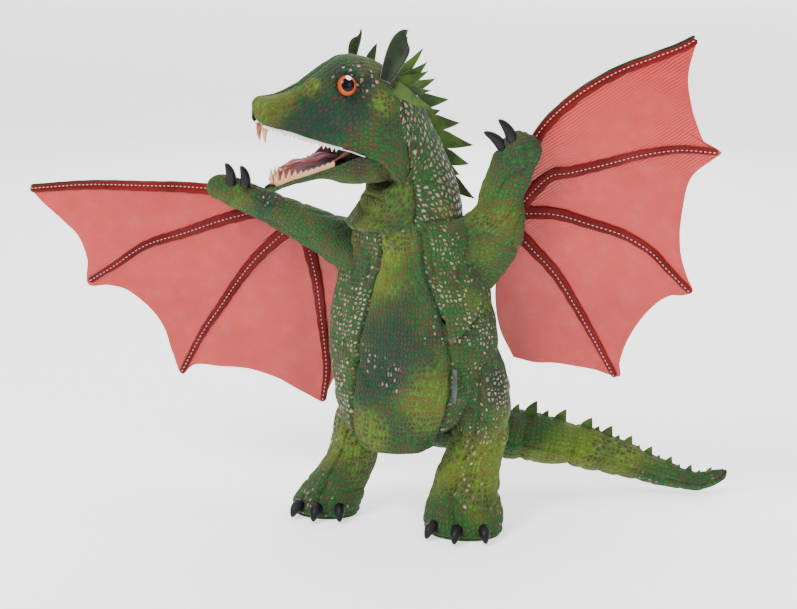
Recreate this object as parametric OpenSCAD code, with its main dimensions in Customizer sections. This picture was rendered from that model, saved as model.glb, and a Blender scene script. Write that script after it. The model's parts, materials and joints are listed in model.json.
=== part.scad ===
// Winged dragon hand puppet: a padded glove body with a working mouth, two arms that carry
// folding mesh wings, two short legs and a two-part tail.
// Frame: millimetres, +Z up, the puppet faces -Y, its left hand is toward +X, and the origin
// lies on the table under the middle of its bounding box.

/* [Glove body] */
// half width of the belly at its fullest
belly_half_w = 94; // [86:1:96]
// half depth of the belly at its fullest
belly_half_d = 52; // [46:1:54]
// thickness of the padded fabric walls
wall_t = 9; // [6:0.5:10]
// inside radius of the sleeve the hand goes up
sleeve_r = 31; // [29:0.5:33]
// thickness of the sleeve lining
lining_t = 2; // [1:0.5:2.5]

/* [Head] */
// how far the head looks toward the puppet's right
head_turn = 51; // [40:1:60]
// radius of the plastic eye domes
eye_r = 9.4; // [7:0.2:11]
// height of the ears
ear_h = 38; // [28:1:44]
// length of one tooth in the upper rows
upper_tooth = 5; // [3:0.5:6]
// length of one tooth in the lower rows
lower_tooth = 7; // [5:0.5:8]
// length of the two fangs
fang_len = 17; // [12:0.5:19]

/* [Wings] */
// thickness of the mesh membrane
mesh_t = 1.2; // [0.8:0.1:1.4]
// radius of the sewn rib channels
rib_r = 4; // [2.5:0.5:4.5]

/* [Limbs and tail] */
// thickness of the foot soles
sole_t = 3; // [2:0.5:4]
// length of one toe claw
claw_len = 16; // [10:1:18]
// thickness of the felt crest leaves
felt_t = 2; // [1:0.5:2.5]
// radius of the tail where it leaves the body
tail_r = 28; // [22:1:29]

/* [Hidden] */
$fn = 32;
// moves the puppet so that the origin is under the middle of its bounding box
frame_shift = [64, -19, 0];
body_y = -8;
head_at = [-21, -15, 452];
sides = 16;

skin_green = "#3f6b42";
skin_dark = "#2b4f3c";
felt_green = "#3f5a30";
mesh_red = "#d2625c";
rib_red = "#8e2420";
tooth_tan = "#e0b48c";
claw_black = "#101214";

// ---- shared shapes ----

function unit(v) = v / norm(v);
function spow(x, p) = sign(x) * pow(abs(x), p);

// one point of a smooth curve through four neighbouring rows, t from the second to the third
function blend_row(a, b, c, d, t) =
  0.5 * (2 * b + (c - a) * t + (2 * a - 5 * b + 4 * c - d) * t * t
    + (3 * b - a - 3 * c + d) * t * t * t);

// rows of numbers thickened into a smooth run, k steps to each gap
function smooth_rows(rows, k) = let (e = len(rows) - 1) [
  for (i = [0 : e - 1], s = [0 : k - 1])
    blend_row(rows[max(i - 1, 0)], rows[i], rows[i + 1], rows[min(i + 2, e)], s / k),
  rows[e]
];

// a closed skin over rings of the same even count of points, joined end to end when looped
module skin(rings, loop = false) {
  n = len(rings[0]);
  m = len(rings);
  last = (m - 1) * n;
  walls = [
    for (i = [0 : loop ? m - 1 : m - 2], j = [0 : n - 1])
      let (a = i * n, b = ((i + 1) % m) * n, k = (j + 1) % n)
        each [[a + j, b + j, b + k], [a + j, b + k, a + k]]
  ];
  caps = [
    for (j = [0 : n / 2 - 2])
      let (p = n - 1 - j, q = n - 2 - j)
        each [
          [j, j + 1, q], [j, q, p],
          [last + j, last + q, last + j + 1], [last + j, last + p, last + q]
        ]
  ];
  polyhedron([for (r = rings) each r], loop ? walls : concat(walls, caps));
}

// a padded tube along rows of [x, y, z, half width, half height], ref is its rough up
module tube(rows, ref = [0, 0, 1], k = 3, n = sides) {
  p = smooth_rows(rows, k);
  e = len(p) - 1;
  skin([
    for (i = [0 : e])
      let (
        a = p[max(i - 1, 0)],
        b = p[min(i + 1, e)],
        t = unit([b[0] - a[0], b[1] - a[1], b[2] - a[2]]),
        u = unit(cross(ref, t)),
        v = cross(t, u)
      )
        [for (j = [0 : n - 1])
          [p[i][0], p[i][1], p[i][2]]
            + u * p[i][3] * cos(360 * j / n) + v * p[i][4] * sin(360 * j / n)]
  ]);
}

module place() {
  translate(frame_shift) children();
}

// x runs out of the snout, y to the puppet's left cheek, z up
module on_head() {
  place() translate(head_at) rotate([0, 0, -90 - head_turn]) children();
}

// ---- glove body ----

// [z, middle x, half width, half depth, seam angle] up the body
body_rows = [
  [86, -12, 60, 43, 52],
  [104, -10, 67, 46, 48],
  [130, -6, 76, 49, 42],
  [160, -1, 88, 51, 37],
  [195, 2, belly_half_w, belly_half_d, 33],
  [240, 2, belly_half_w - 2, belly_half_d - 2, 26],
  [276, 0, 83, 47, 21],
  [294, 0, 68, 45, 20],
  [320, 0, 62, 46, 20],
  [341, 0, 61, 49, 20]
];

function body_point(r, angle, inset) =
  [r[1] + (r[2] - inset) * sin(angle), body_y - (r[3] - inset) * cos(angle), r[0]];

// the padding thins toward the hem, where the hand goes in
function wall_at(z) = wall_t - max(0, 120 - z) * 0.12;

// one cut panel of the body wall from seam to seam, low cuts its hem higher
module body_panel(from, to, low, steps) {
  rows = [for (r = smooth_rows(body_rows, 2)) if (r[0] >= low) r];
  skin([
    for (r = rows)
      let (
        a = from == 0 ? -r[4] + 0.5 : from < 0 ? from + 0.5 : r[4] + 0.5,
        b = from == 0 ? r[4] - 0.5 : to - 0.5
      )
        concat(
          [for (j = [0 : steps]) body_point(r, a + (b - a) * j / steps, 0)],
          [for (j = [steps : -1 : 0]) body_point(r, a + (b - a) * j / steps, wall_at(r[0]))]
        )
  ]);
}

module belly_panel() {
  color(skin_green) place() body_panel(0, 0, 0, 8);
}

module side_panel_left() {
  color(skin_green) place() body_panel(1, 125, 128, 8);
}

module side_panel_right() {
  color(skin_green) place() mirror([1, 0, 0]) mirrored_side();
}

// the right side panel, drawn on the left with the body's middle mirrored too
module mirrored_side() {
  rows = [
    for (r = smooth_rows(body_rows, 2))
      if (r[0] >= 128) [r[0], -r[1], r[2], r[3], r[4]]
  ];
  skin([
    for (r = rows)
      let (a = r[4] + 0.5, b = 124.5)
        concat(
          [for (j = [0 : 8]) body_point(r, a + (b - a) * j / 8, 0)],
          [for (j = [8 : -1 : 0]) body_point(r, a + (b - a) * j / 8, wall_t)]
        )
  ]);
}

module back_panel() {
  color(skin_dark) place() skin([
    for (r = smooth_rows(body_rows, 2))
      if (r[0] >= 128)
        concat(
          [for (j = [0 : 8]) body_point(r, 125.5 + 109 * j / 8, 0)],
          [for (j = [8 : -1 : 0]) body_point(r, 125.5 + 109 * j / 8, wall_t)]
        )
  ]);
}

module glove_lining() {
  color(skin_dark) place() translate([0, body_y, 92]) difference() {
    cylinder(h = 196, r = sleeve_r + lining_t, $fn = 96);
    translate([0, 0, -1]) cylinder(h = 198, r = sleeve_r, $fn = 96);
  }
}

module side_label() {
  color("#5b6a64") place() translate([59, -55.5, 150]) rotate([0, 4, 44]) union() {
    cube([1, 9, 38]);
    translate([-0.8, 0, 36.5]) cube([2.6, 9, 1.5]);
  }
}

// ---- neck ----

// [front x, front z, back x, back z, half width] of each ring, in the head's own axes
neck_rows = [
  [44, -108, -80, -108, 54],
  [38, -98, -79, -91, 53],
  [32, -87, -75, -72, 51],
  [28, -82, -64, -48, 47],
  [24, -79, -50, -18, 45],
  [17, -77, -34, 12, 44],
  [8, -75, -14, 38, 43],
  [1, -72, 1, 50, 42]
];

function neck_point(r, angle, inset) =
  let (
    f = [r[0], 0, r[1]],
    b = [r[2], 0, r[3]],
    half = norm(f - b) / 2,
    out = unit(f - b)
  )
    (f + b) / 2 + out * (half - inset) * cos(angle) + [0, (r[4] - inset) * sin(angle), 0];

module neck_sector(from, to, steps) {
  skin([
    for (r = smooth_rows(neck_rows, 2))
      concat(
        [for (j = [0 : steps]) neck_point(r, from + (to - from) * j / steps, 0)],
        [for (j = [steps : -1 : 0]) neck_point(r, from + (to - from) * j / steps, wall_t - 1)]
      )
  ]);
}

module neck_throat() {
  color(skin_dark) on_head() neck_sector(-74.5, 74.5, 10);
}

module neck_nape() {
  color(skin_green) on_head() neck_sector(75.5, 284.5, 12);
}

module neck_crest() {
  color(felt_green) on_head() rotate([90, 0, 0]) linear_extrude(felt_t, center = true)
    polygon([
      [-36, 15], [-54, 32], [-47, 2], [-67, 14], [-55, -15], [-77, -12], [-62, -34],
      [-93, -36], [-71, -53], [-96, -62], [-78, -74], [-99, -84], [-84, -92],
      [-82, -90], [-66, -48], [-52, -16]
    ]);
}

// ---- head ----

// [x, lip z, top z, half width] from the back of the head to the nose
skull_rows = [
  [11, -14, 55, 39],
  [25, -16, 64, 39],
  [45, -21, 69, 38],
  [62, -18, 68, 36],
  [80, -13, 59, 32],
  [95, -9, 49, 28],
  [107, -7, 40, 25],
  [122, -3, 32, 22],
  [136, 0, 29, 20],
  [148, 3, 28, 17],
  [154, 6, 25, 11]
];

function skull_ring(r, inset) = [
  for (j = [0 : sides - 1])
    let (c = cos(360 * j / sides), s = sin(360 * j / sides))
      [
        r[0],
        (r[3] - inset) * spow(c, 0.8),
        r[1] + inset + (s > 0 ? r[2] - r[1] - 2 * inset : 2) * spow(s, 0.85)
      ]
];

module skull() {
  rows = smooth_rows(skull_rows, 2);
  color(skin_green) on_head() skin(concat(
    [for (i = [10 : -1 : 0]) skull_ring(rows[i], 8)],
    [for (r = rows) skull_ring(r, 0)]
  ));
}

// a flat U that follows the lips: half width at x, for linings and rows of teeth
function lip_half(x) = lookup(x, [[50, 34], [80, 30], [107, 23], [122, 19], [136, 16], [148, 12]]);
function upper_lip(x) = lookup(x, [[50, -21], [62, -18], [80, -13], [107, -7], [136, 0], [148, 3]]);

module palate_lining() {
  color("#f4f2ee") on_head() skin([
    for (x = [52 : 8 : 148])
      let (w = lip_half(x) - 4, z = upper_lip(x) - 2.6)
        [[x, -w, z - 1.6], [x, w, z - 1.6], [x, w, z], [x, -w, z]]
  ]);
}

module upper_teeth() {
  color("#efe9dc") on_head() for (x = [70 : 8 : 134], side = [-1, 1])
    translate([x, side * (lip_half(x) - 1), upper_lip(x) - 3 - upper_tooth])
      cylinder(h = upper_tooth, r1 = 0.3, r2 = 2.2, $fn = 24);
}

module fangs() {
  color(tooth_tan) on_head() for (side = [-1, 1])
    translate([146, side * 8, -0.5 - fang_len])
      cylinder(h = fang_len, r1 = 0.5, r2 = 3.2, $fn = 24);
}

module eye(side) {
  color("#e0701c") on_head() translate([64, side * 34.5, 40]) rotate([side * -75, 0, 0])
    union() {
      intersection() {
        translate([0, 0, -5]) sphere(r = eye_r + 1.4, $fn = 64);
        cylinder(h = 12, r = eye_r, $fn = 64);
      }
      cylinder(h = 1.2, r = eye_r + 0.6, $fn = 64);
    }
}

module eye_right() {
  eye(-1);
}

module eye_left() {
  eye(1);
}

// a curled leaf standing on the back of the head
module ear(side) {
  color(skin_green) on_head() tube([
    [26, side * 28, 58, 12, 5],
    [23, side * 31, 58 + ear_h * 0.3, 14, 7],
    [15, side * 34, 58 + ear_h * 0.6, 12, 5],
    [3, side * 36, 58 + ear_h * 0.85, 7, 3],
    [-5, side * 36, 58 + ear_h, 1, 0.6]
  ], [0, side, 0], 2, 12);
}

module ear_right() {
  ear(-1);
}

module ear_left() {
  ear(1);
}

module head_frill() {
  color(felt_green) on_head() for (side = [-1, 1])
    translate([0, side * 5, 0]) rotate([90, 0, 0]) linear_extrude(felt_t, center = true)
      polygon([
        [2, 52.5], [-37, 57], [0, 60.5], [-34, 73], [5, 67], [-12, 84], [16, 66], [18, 60]
      ]);
}

// ---- lower jaw ----

// [x, lip z, bottom z, half width] from the hinge to the chin
jaw_rows = [
  [14, -31, -61, 24],
  [20, -28, -66, 28],
  [30, -26, -68, 31],
  [46, -33, -69, 33],
  [69, -36, -66, 32],
  [88, -41, -61, 29],
  [106, -47, -61, 25],
  [122, -54, -65, 20],
  [134, -60, -68, 14],
  [140, -63, -67, 7]
];

function jaw_ring(r, inset) = [
  for (j = [0 : sides - 1])
    let (c = cos(360 * j / sides), s = sin(360 * j / sides))
      [
        r[0],
        (r[3] - inset) * spow(c, 0.8),
        r[1] - inset + (s > 0 ? 1.5 : r[1] - r[2] - 2 * inset) * spow(s, 0.85)
      ]
];

module jaw() {
  rows = smooth_rows(jaw_rows, 2);
  color(skin_green) on_head() skin(concat(
    [for (i = [8 : -1 : 0]) jaw_ring(rows[i], 5)],
    [for (r = rows) jaw_ring(r, 0)]
  ));
}

function lower_lip(x) = lookup(x, [[46, -33], [69, -36], [88, -41], [106, -47], [122, -54], [134, -60]]);
function jaw_half(x) = lookup(x, [[46, 33], [69, 32], [88, 29], [106, 25], [122, 20], [134, 14]]);

module jaw_lining() {
  color("#8e3a2e") on_head() skin([
    for (x = [50 : 7 : 134])
      let (w = jaw_half(x) - 5, z = lower_lip(x) + 3.2)
        [[x, -w, z - 1.4], [x, w, z - 1.4], [x, w, z], [x, -w, z]]
  ]);
}

module lower_teeth() {
  color(tooth_tan) on_head() for (x = [76 : 8.5 : 128], side = [-1, 1])
    translate([x, side * (jaw_half(x) - 3), lower_lip(x) + 2.2]) rotate([90, 0, 0])
      linear_extrude(1.5, center = true)
        polygon([[-4, 0], [4, 0], [1, lower_tooth * (1.5 - x / 140)]]);
}

module tongue() {
  color("#8a1c34") on_head() tube([
    [62, 0, -30, 1, 0.4],
    [66, 0, -30.4, 9, 1.2],
    [78, 0, -32, 12, 1.8],
    [95, 0, -35.5, 12, 2],
    [112, 0, -39, 9, 2],
    [124, 0, -42, 4, 1.4],
    [127, 0, -42.5, 0.6, 0.4]
  ], [0, 0, 1], 2, 12);
}

// ---- arms ----

module arm_right() {
  color(skin_green) place() tube([
    [-70.5, 7, 309, 3, 4],
    [-74, 7.5, 311, 17, 18],
    [-92, 9, 318, 21, 24],
    [-120, 11, 326, 19, 21],
    [-150, 13, 336, 16, 18],
    [-176, 15, 345, 14, 16],
    [-184, 15.4, 347.5, 11, 13],
    [-186, 15.5, 348, 3, 3]
  ], [0, 0, 1], 2);
}

module hand_right() {
  color(skin_green) place() tube([
    [-187.5, 15.6, 349, 3, 3],
    [-190, 15.7, 350, 12, 13],
    [-205, 16, 355, 16, 13],
    [-222, 15, 359, 15, 11],
    [-234, 13, 361, 10, 8],
    [-240, 12, 362, 2, 2]
  ], [0, 0, 1], 2);
}

// a curved claw that leans along x as it rises
module claw(len, r, lean) {
  tube([
    [0, 0, 0, r, r * 0.7],
    [lean * 0.1, 0, len * 0.4, r * 0.85, r * 0.6],
    [lean * 0.45, 0, len * 0.75, r * 0.5, r * 0.4],
    [lean, 0, len, r * 0.1, r * 0.1]
  ], [0, 1, 0], 2, 8);
}

module hand_claws_right() {
  color(claw_black) place() for (p = [[-212, 8, 371], [-196, 6, 371]])
    translate(p) rotate([12, 0, 0]) claw(21, 5.5, -5);
}

module arm_left() {
  color(skin_green) place() tube([
    [85.5, 2, 290.5, 3, 4],
    [87, 2, 294, 18, 19],
    [92, 2, 312, 24, 23],
    [99, -2, 335, 22, 20],
    [106, -6, 358, 21, 18],
    [112, -9, 378, 18, 16],
    [114, -10, 386, 13, 12],
    [114.5, -10.3, 388.5, 3, 3]
  ], [0, 1, 0], 2);
}

module hand_left() {
  color(skin_green) place() tube([
    [115, -10.6, 390, 3, 3],
    [115.5, -11, 393, 15, 12],
    [118, -14, 408, 20, 14],
    [121, -16, 424, 22, 13],
    [127, -18, 436, 15, 9],
    [129, -18.5, 440, 4, 3]
  ], [0, 1, 0], 2);
}

module hand_claws_left() {
  color(claw_black) place() {
    translate([98, -20, 426]) rotate([10, -38, 0]) claw(24, 6, 6);
    translate([110, -24, 436]) rotate([14, -18, 0]) claw(24, 6, 6);
  }
}

// ---- wings ----

module wing_plane_right() {
  place() translate([-92, 47, 318]) rotate([91.7, 0, 3.5]) children();
}

module wing_plane_left() {
  place() translate([92, 30, 312]) rotate([100.8, 0, -3]) children();
}

// each wing: corner points between which the trailing edge hangs in shallow arcs
tips_right = [[-372, 33], [-307, -84], [-198, -187], [-27, -213], [12, -196]];
hub_right = [[8, -20], [-30, 20], [-150, 37]];
tips_left = [[213, 237], [238, 117], [210, -47], [129, -157], [10, -140]];
hub_left = [[-14, -40], [8, 0], [36, 112]];

// points from a to b, pulled sideways by sag in the middle
function scallop(a, b, sag) = let (d = b - a, across = [-d[1], d[0]] / norm(d)) [
  for (i = [0 : 7])
    a + d * i / 8 + across * sag * sin(180 * i / 8)
];

module wing_outline(tips, hub, sag) {
  polygon(concat(
    [for (i = [0 : 2]) each scallop(tips[i], tips[i + 1], sag * (i == 0 ? 0.8 : 1))],
    scallop(tips[3], tips[4], sag * 0.25),
    [tips[4]],
    hub
  ));
}

// a sewn channel from the arm to a wing tip, bowed sideways
module rib(a, b, bow) {
  d = b - a;
  across = [-d[1], d[0]] / norm(d);
  m = a + d * 0.5 + across * bow;
  tube([
    [a[0], a[1], 0, rib_r + 1, 2],
    [(a[0] + m[0]) / 2 + across[0] * bow * 0.25, (a[1] + m[1]) / 2 + across[1] * bow * 0.25, 0,
      rib_r + 0.5, 2],
    [m[0], m[1], 0, rib_r, 2],
    [(b[0] + m[0]) / 2 + across[0] * bow * 0.25, (b[1] + m[1]) / 2 + across[1] * bow * 0.25, 0,
      rib_r - 0.5, 1.8],
    [b[0], b[1], 0, 1, 0.8]
  ], [0, 0, 1], 3, 8);
}

module wing_membrane_right() {
  color(mesh_red) wing_plane_right() translate([0, 0, -mesh_t])
    linear_extrude(mesh_t) wing_outline(tips_right, hub_right, 26);
}

module wing_ribs_right() {
  color(rib_red) wing_plane_right() translate([0, 0, 2.3]) union() {
    rib([-100, 4], tips_right[1] + [5, 3], -16);
    rib([-68, -14], tips_right[2] + [2, 8], 16);
    rib([-42, -28], tips_right[3] + [0, 8], 14);
  }
}

module wing_edge_right() {
  color(felt_green) wing_plane_right() translate([0, 0, 2.3])
    tube([
      [-372, 34, 0, 1, 0.8],
      [-300, 40, 0, 4.5, 2],
      [-220, 42, 0, 5.5, 2],
      [-150, 38, 0, 6, 2],
      [-90, 22, 0, 6, 2],
      [-34, 14, 0, 5, 2]
    ], [0, 0, 1], 3, 8);
}

module wing_membrane_left() {
  color(mesh_red) wing_plane_left() translate([0, 0, -mesh_t])
    linear_extrude(mesh_t) wing_outline(tips_left, hub_left, -24);
}

module wing_ribs_left() {
  color(rib_red) wing_plane_left() translate([0, 0, 2.3]) union() {
    rib([32, 54], tips_left[1] + [-5, -1], 14);
    rib([33, 36], tips_left[2] + [-3, 5], 22);
    rib([20, 12], tips_left[3] + [-2, 6], 14);
  }
}

module wing_edge_left() {
  color(felt_green) wing_plane_left() translate([0, 0, 2.3])
    tube([
      [213, 239, 0, 1, 0.8],
      [168, 217, 0, 4.5, 2],
      [106, 187, 0, 5.5, 2],
      [57, 145, 0, 5, 2],
      [38, 111, 0, 3.5, 1.6],
      [20, 60, 0, 3, 1.6],
      [5, 11, 0, 2.5, 1.6]
    ], [0, 0, 1], 3, 8);
}

// ---- legs ----

module leg_right() {
  color(skin_green) place() tube([
    [-65, 14, 120.5, 4, 4],
    [-65, 14, 118, 16, 18],
    [-65, 13, 108, 25, 27],
    [-66, 12, 94, 26, 29],
    [-71, 8, 70, 27, 28],
    [-78, 2, 50, 28, 27],
    [-85, -5, 34, 29, 26]
  ], [0, 1, 0], 2);
}

module foot(x, y, w, d) {
  tube([
    [x, y, sole_t + 0.4, w * 0.94, d * 0.94],
    [x, y, sole_t + 3, w * 0.98, d * 0.98],
    [x, y, sole_t + 7, w, d],
    [x, y + 3, 19, w * 0.92, d * 0.96],
    [x + 4 * sign(-x), y + 8, 30, w * 0.74, d * 0.85],
    [x + 5 * sign(-x), y + 9, 31.5, w * 0.55, d * 0.6]
  ], [0, 1, 0], 2);
}

// a flat pad with the outline of the foot
module sole(x, y, w, d) {
  translate([x, y, 0]) linear_extrude(sole_t)
    polygon([for (a = [0 : 7.5 : 352.5]) [w * 0.92 * cos(a), d * 0.92 * sin(a)]]);
}

// three claws across the front of a foot, tips near the table
module toe_claws(p) {
  for (c = p)
    translate(c) rotate([98, 0, 0]) claw(claw_len, 6, 0);
}

module foot_right() {
  color(skin_green) place() foot(-97, -18, 40, 30);
}

module sole_right() {
  color(skin_dark) place() sole(-97, -18, 40, 30);
}

module toe_claws_right() {
  color(claw_black) place()
    toe_claws([[-122, -42.5, 8], [-98, -49.5, 8], [-73, -43.5, 8]]);
}

module leg_left() {
  color(skin_green) place() tube([
    [75, 16, 125, 5, 5],
    [75, 16, 122, 18, 18],
    [75, 16, 111, 30, 27],
    [74, 14, 95, 33, 29],
    [70, 2, 74, 33, 29],
    [65, -14, 53, 33, 28],
    [62, -26, 34, 34, 28]
  ], [0, 1, 0], 2);
}

module foot_left() {
  color(skin_green) place() foot(68, -44, 44, 33);
}

module sole_left() {
  color(skin_dark) place() sole(68, -44, 44, 33);
}

module toe_claws_left() {
  color(claw_black) place()
    toe_claws([[38, -70, 8], [68, -78.5, 8], [98, -70, 8]]);
}

// ---- tail ----

module tail_base() {
  color(skin_green) place() tube([
    [22, 62.5, 88, 3, 3],
    [24, 63.5, 87.5, tail_r * 0.6, tail_r * 0.6],
    [36, 69, 85, tail_r * 0.93, tail_r * 0.95],
    [60, 80, 80, tail_r, tail_r],
    [92, 91, 74, tail_r, tail_r],
    [124, 100, 68, tail_r - 1, tail_r - 1],
    [140, 104, 64.5, tail_r - 3, tail_r - 3],
    [151, 106.4, 62, tail_r - 8, tail_r - 8],
    [157.5, 108, 60.6, tail_r - 17, tail_r - 17],
    [160, 108.4, 60, 2, 2]
  ], [0, 0, 1], 2);
}

module tail_tip() {
  color(skin_green) place() tube([
    [162, 108.8, 59.5, 2, 2],
    [164.5, 109.6, 59, tail_r - 17, tail_r - 17],
    [171, 111.4, 57.4, tail_r - 9, tail_r - 9],
    [182, 114.2, 54.5, tail_r - 5, tail_r - 5],
    [205, 120, 47.5, tail_r - 6.5, tail_r - 6.5],
    [235, 128, 35, 18.5, 18.5],
    [268, 136, 23, 14.5, 14.5],
    [296, 142, 15, 11, 11],
    [312, 145, 14.5, 10, 11],
    [328, 148, 21, 7, 9],
    [337, 150, 28, 1, 1]
  ], [0, 0, 1], 2);
}

// felt spikes along a line: rows of [x, y, z] on the back of the tail
module tail_spikes(from, to, count, big) {
  run = to - from;
  flat = norm([run[0], run[1]]);
  place() translate(from) rotate([0, 0, atan2(run[1], run[0])])
    rotate([0, atan2(-run[2], flat), 0]) rotate([90, 0, 0])
      linear_extrude(felt_t, center = true) union() {
        for (i = [0 : count - 1]) {
          x = norm(run) * i / count;
          w = norm(run) / count;
          h = i % 2 == 0 ? big : big * 0.7;
          polygon([[x, 0], [x + w + 1, 0], [x + w + 1, 2], [x + w * 0.1, h], [x, 2]]);
        }
      }
}

module tail_crest_base() {
  color(felt_green) tail_spikes([52, 77, 112], [142, 104.5, 93.5], 4, 15);
}

module tail_crest_tip() {
  color(felt_green) tail_spikes([182, 114.2, 81.5], [290, 140.8, 31], 6, 12);
}

belly_panel();
side_panel_right();
side_panel_left();
back_panel();
glove_lining();
side_label();
neck_throat();
neck_nape();
neck_crest();
skull();
palate_lining();
upper_teeth();
fangs();
eye_right();
eye_left();
ear_right();
ear_left();
head_frill();
jaw();
jaw_lining();
lower_teeth();
tongue();
arm_right();
hand_right();
hand_claws_right();
arm_left();
hand_left();
hand_claws_left();
wing_membrane_right();
wing_ribs_right();
wing_edge_right();
wing_membrane_left();
wing_ribs_left();
wing_edge_left();
leg_right();
foot_right();
sole_right();
toe_claws_right();
leg_left();
foot_left();
sole_left();
toe_claws_left();
tail_base();
tail_tip();
tail_crest_base();
tail_crest_tip();
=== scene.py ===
"""Winged dragon hand puppet: every visible piece is built here over the CAD frame."""

import json
import math

import bmesh
import bpy
import numpy as np
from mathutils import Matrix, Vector
from mathutils.kdtree import KDTree


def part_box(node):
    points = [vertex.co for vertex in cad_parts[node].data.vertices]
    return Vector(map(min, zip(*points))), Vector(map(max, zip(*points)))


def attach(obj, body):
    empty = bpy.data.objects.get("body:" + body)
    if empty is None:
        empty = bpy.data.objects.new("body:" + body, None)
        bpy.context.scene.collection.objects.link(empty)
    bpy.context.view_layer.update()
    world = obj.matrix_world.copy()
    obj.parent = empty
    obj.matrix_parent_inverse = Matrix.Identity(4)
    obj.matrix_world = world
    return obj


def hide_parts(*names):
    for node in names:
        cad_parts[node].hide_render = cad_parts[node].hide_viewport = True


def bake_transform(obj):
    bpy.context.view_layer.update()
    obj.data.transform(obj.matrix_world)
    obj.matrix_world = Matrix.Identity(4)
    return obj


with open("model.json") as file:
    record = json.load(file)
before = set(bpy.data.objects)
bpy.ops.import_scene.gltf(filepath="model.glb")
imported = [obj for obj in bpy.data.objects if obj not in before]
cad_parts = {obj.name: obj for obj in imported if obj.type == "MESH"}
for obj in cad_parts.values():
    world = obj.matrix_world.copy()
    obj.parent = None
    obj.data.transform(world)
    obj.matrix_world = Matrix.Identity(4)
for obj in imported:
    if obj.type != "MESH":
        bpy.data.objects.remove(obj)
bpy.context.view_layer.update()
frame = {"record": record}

bl_info = {
    "name": "Winged dragon hand puppet",
    "version": (1, 0, 0),
    "blender": (4, 5, 0),
    "location": "View3D > Sidebar > Puppet",
    "description": "Builds a plush winged dragon hand puppet piece by piece",
    "category": "Object",
}

JOINTS = {j["name"]: j for j in frame["record"]["behaviour"]["joints"]}
UP = np.array([0.0, 0.0, 1.0])
TAU = 2 * math.pi
# one millimetre in metres
MM = 0.001
# the middle of the glove body at table height, in millimetres
BODY0 = np.array(JOINTS["neck_turn"]["pos_m"]) * 1000 - np.array([-8.0, -5.0, 342.0])
# the head's own axes: out of the snout, toward the left cheek, up
SIDEWAYS = np.array(JOINTS["jaw_open"]["axis"], float)
FORWARD = np.cross(SIDEWAYS, UP)
HEAD0 = np.array(JOINTS["jaw_open"]["pos_m"]) * 1000 - 30 * FORWARD + 46 * UP


# ---- numbers and curves ----


def body_pt(p):
    """Points given from the middle of the body at table height, in row-frame millimetres."""
    return np.asarray(p, float) + BODY0


def head_pt(p):
    """Points given as (out of the snout, toward the left cheek, up), in row-frame millimetres."""
    p = np.asarray(p, float)
    return HEAD0 + p[..., :1] * FORWARD + p[..., 1:2] * SIDEWAYS + p[..., 2:3] * UP


def metres(p):
    """A point in millimetres as a plain list in metres."""
    return (np.asarray(p, float) * MM).tolist()


def node_box(node):
    """The low and high corners of a CAD node's box, in millimetres."""
    return (np.array(corner) * 1000 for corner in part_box(node))


def unit(v):
    """v divided by its length along the last axis."""
    return v / np.maximum(np.linalg.norm(v, axis=-1, keepdims=True), 1e-9)


def smooth_rows(rows, count):
    """Catmull-Rom curve through the rows, read at count evenly spaced parameters."""
    r = np.asarray(rows, float)
    r = np.vstack([2 * r[0] - r[1], r, 2 * r[-1] - r[-2]])
    t = np.linspace(0, len(rows) - 1, count)
    i = np.minimum(t.astype(int), len(rows) - 2)
    f = (t - i)[:, None]
    a, b, c, d = r[i], r[i + 1], r[i + 2], r[i + 3]
    return 0.5 * (2 * b + (c - a) * f + (2 * a - 5 * b + 4 * c - d) * f**2 + (3 * b - a - 3 * c + d) * f**3)


def step(lo, hi, x):
    """0 below lo, 1 above hi, and 3t^2 - 2t^3 between them."""
    t = np.clip((x - lo) / (hi - lo), 0, 1)
    return t * t * (3 - 2 * t)


def bell(x, width):
    """exp(-(x / width)^2)."""
    return np.exp(-((x / width) ** 2))


def ripple(points, wavelength, seed, waves=14):
    """A smooth field from -1 to 1: the mean of sine waves of about one wavelength in fixed random
    directions."""
    rng = np.random.default_rng(seed)
    d = unit(rng.normal(size=(waves, 3)))
    k = TAU / (wavelength * rng.uniform(0.7, 1.5, waves))
    phase = rng.uniform(0, TAU, waves)
    return np.sin(points @ (d * k[:, None]).T + phase).sum(-1) / math.sqrt(waves) / 1.4


def folds(points, wavelength, seed):
    """Creases: 1 minus the size of a ripple, squared, so that thin valleys wind over the surface."""
    return -(1 - np.minimum(np.abs(ripple(points, wavelength, seed)) * 2.2, 1)) ** 2


def lump(points, centre, radius):
    """A bell-shaped swelling: exp of minus the squared distance over the radius squared, per axis."""
    return np.exp(-((((points - np.asarray(centre, float)) / np.asarray(radius, float)) ** 2).sum(-1)))


# ---- meshes from grids ----


def grid_normals(p, around=True):
    """Unit normals of a grid of points, the cross product of its two directions."""
    if around:
        dj = np.roll(p, -1, 1) - np.roll(p, 1, 1)
    else:
        dj = np.gradient(p, axis=1)
    return unit(np.cross(dj, np.gradient(p, axis=0)))


def tube_grid(rows, ref, along, around):
    """Ellipses carried along a smooth path: centre + a cos(t) u + b sin(t) v, with u and v square to the
    path."""
    r = smooth_rows(rows, along)
    c = r[:, :3]
    t = unit(np.gradient(c, axis=0))
    u = unit(np.cross(np.asarray(ref, float), t))
    v = np.cross(t, u)
    th = np.linspace(0, TAU, around, endpoint=False)
    wide = r[:, 3, None, None] * np.cos(th)[None, :, None] * u[:, None]
    deep = r[:, 4, None, None] * np.sin(th)[None, :, None] * v[:, None]
    return c[:, None] + wide + deep, r, th


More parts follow.
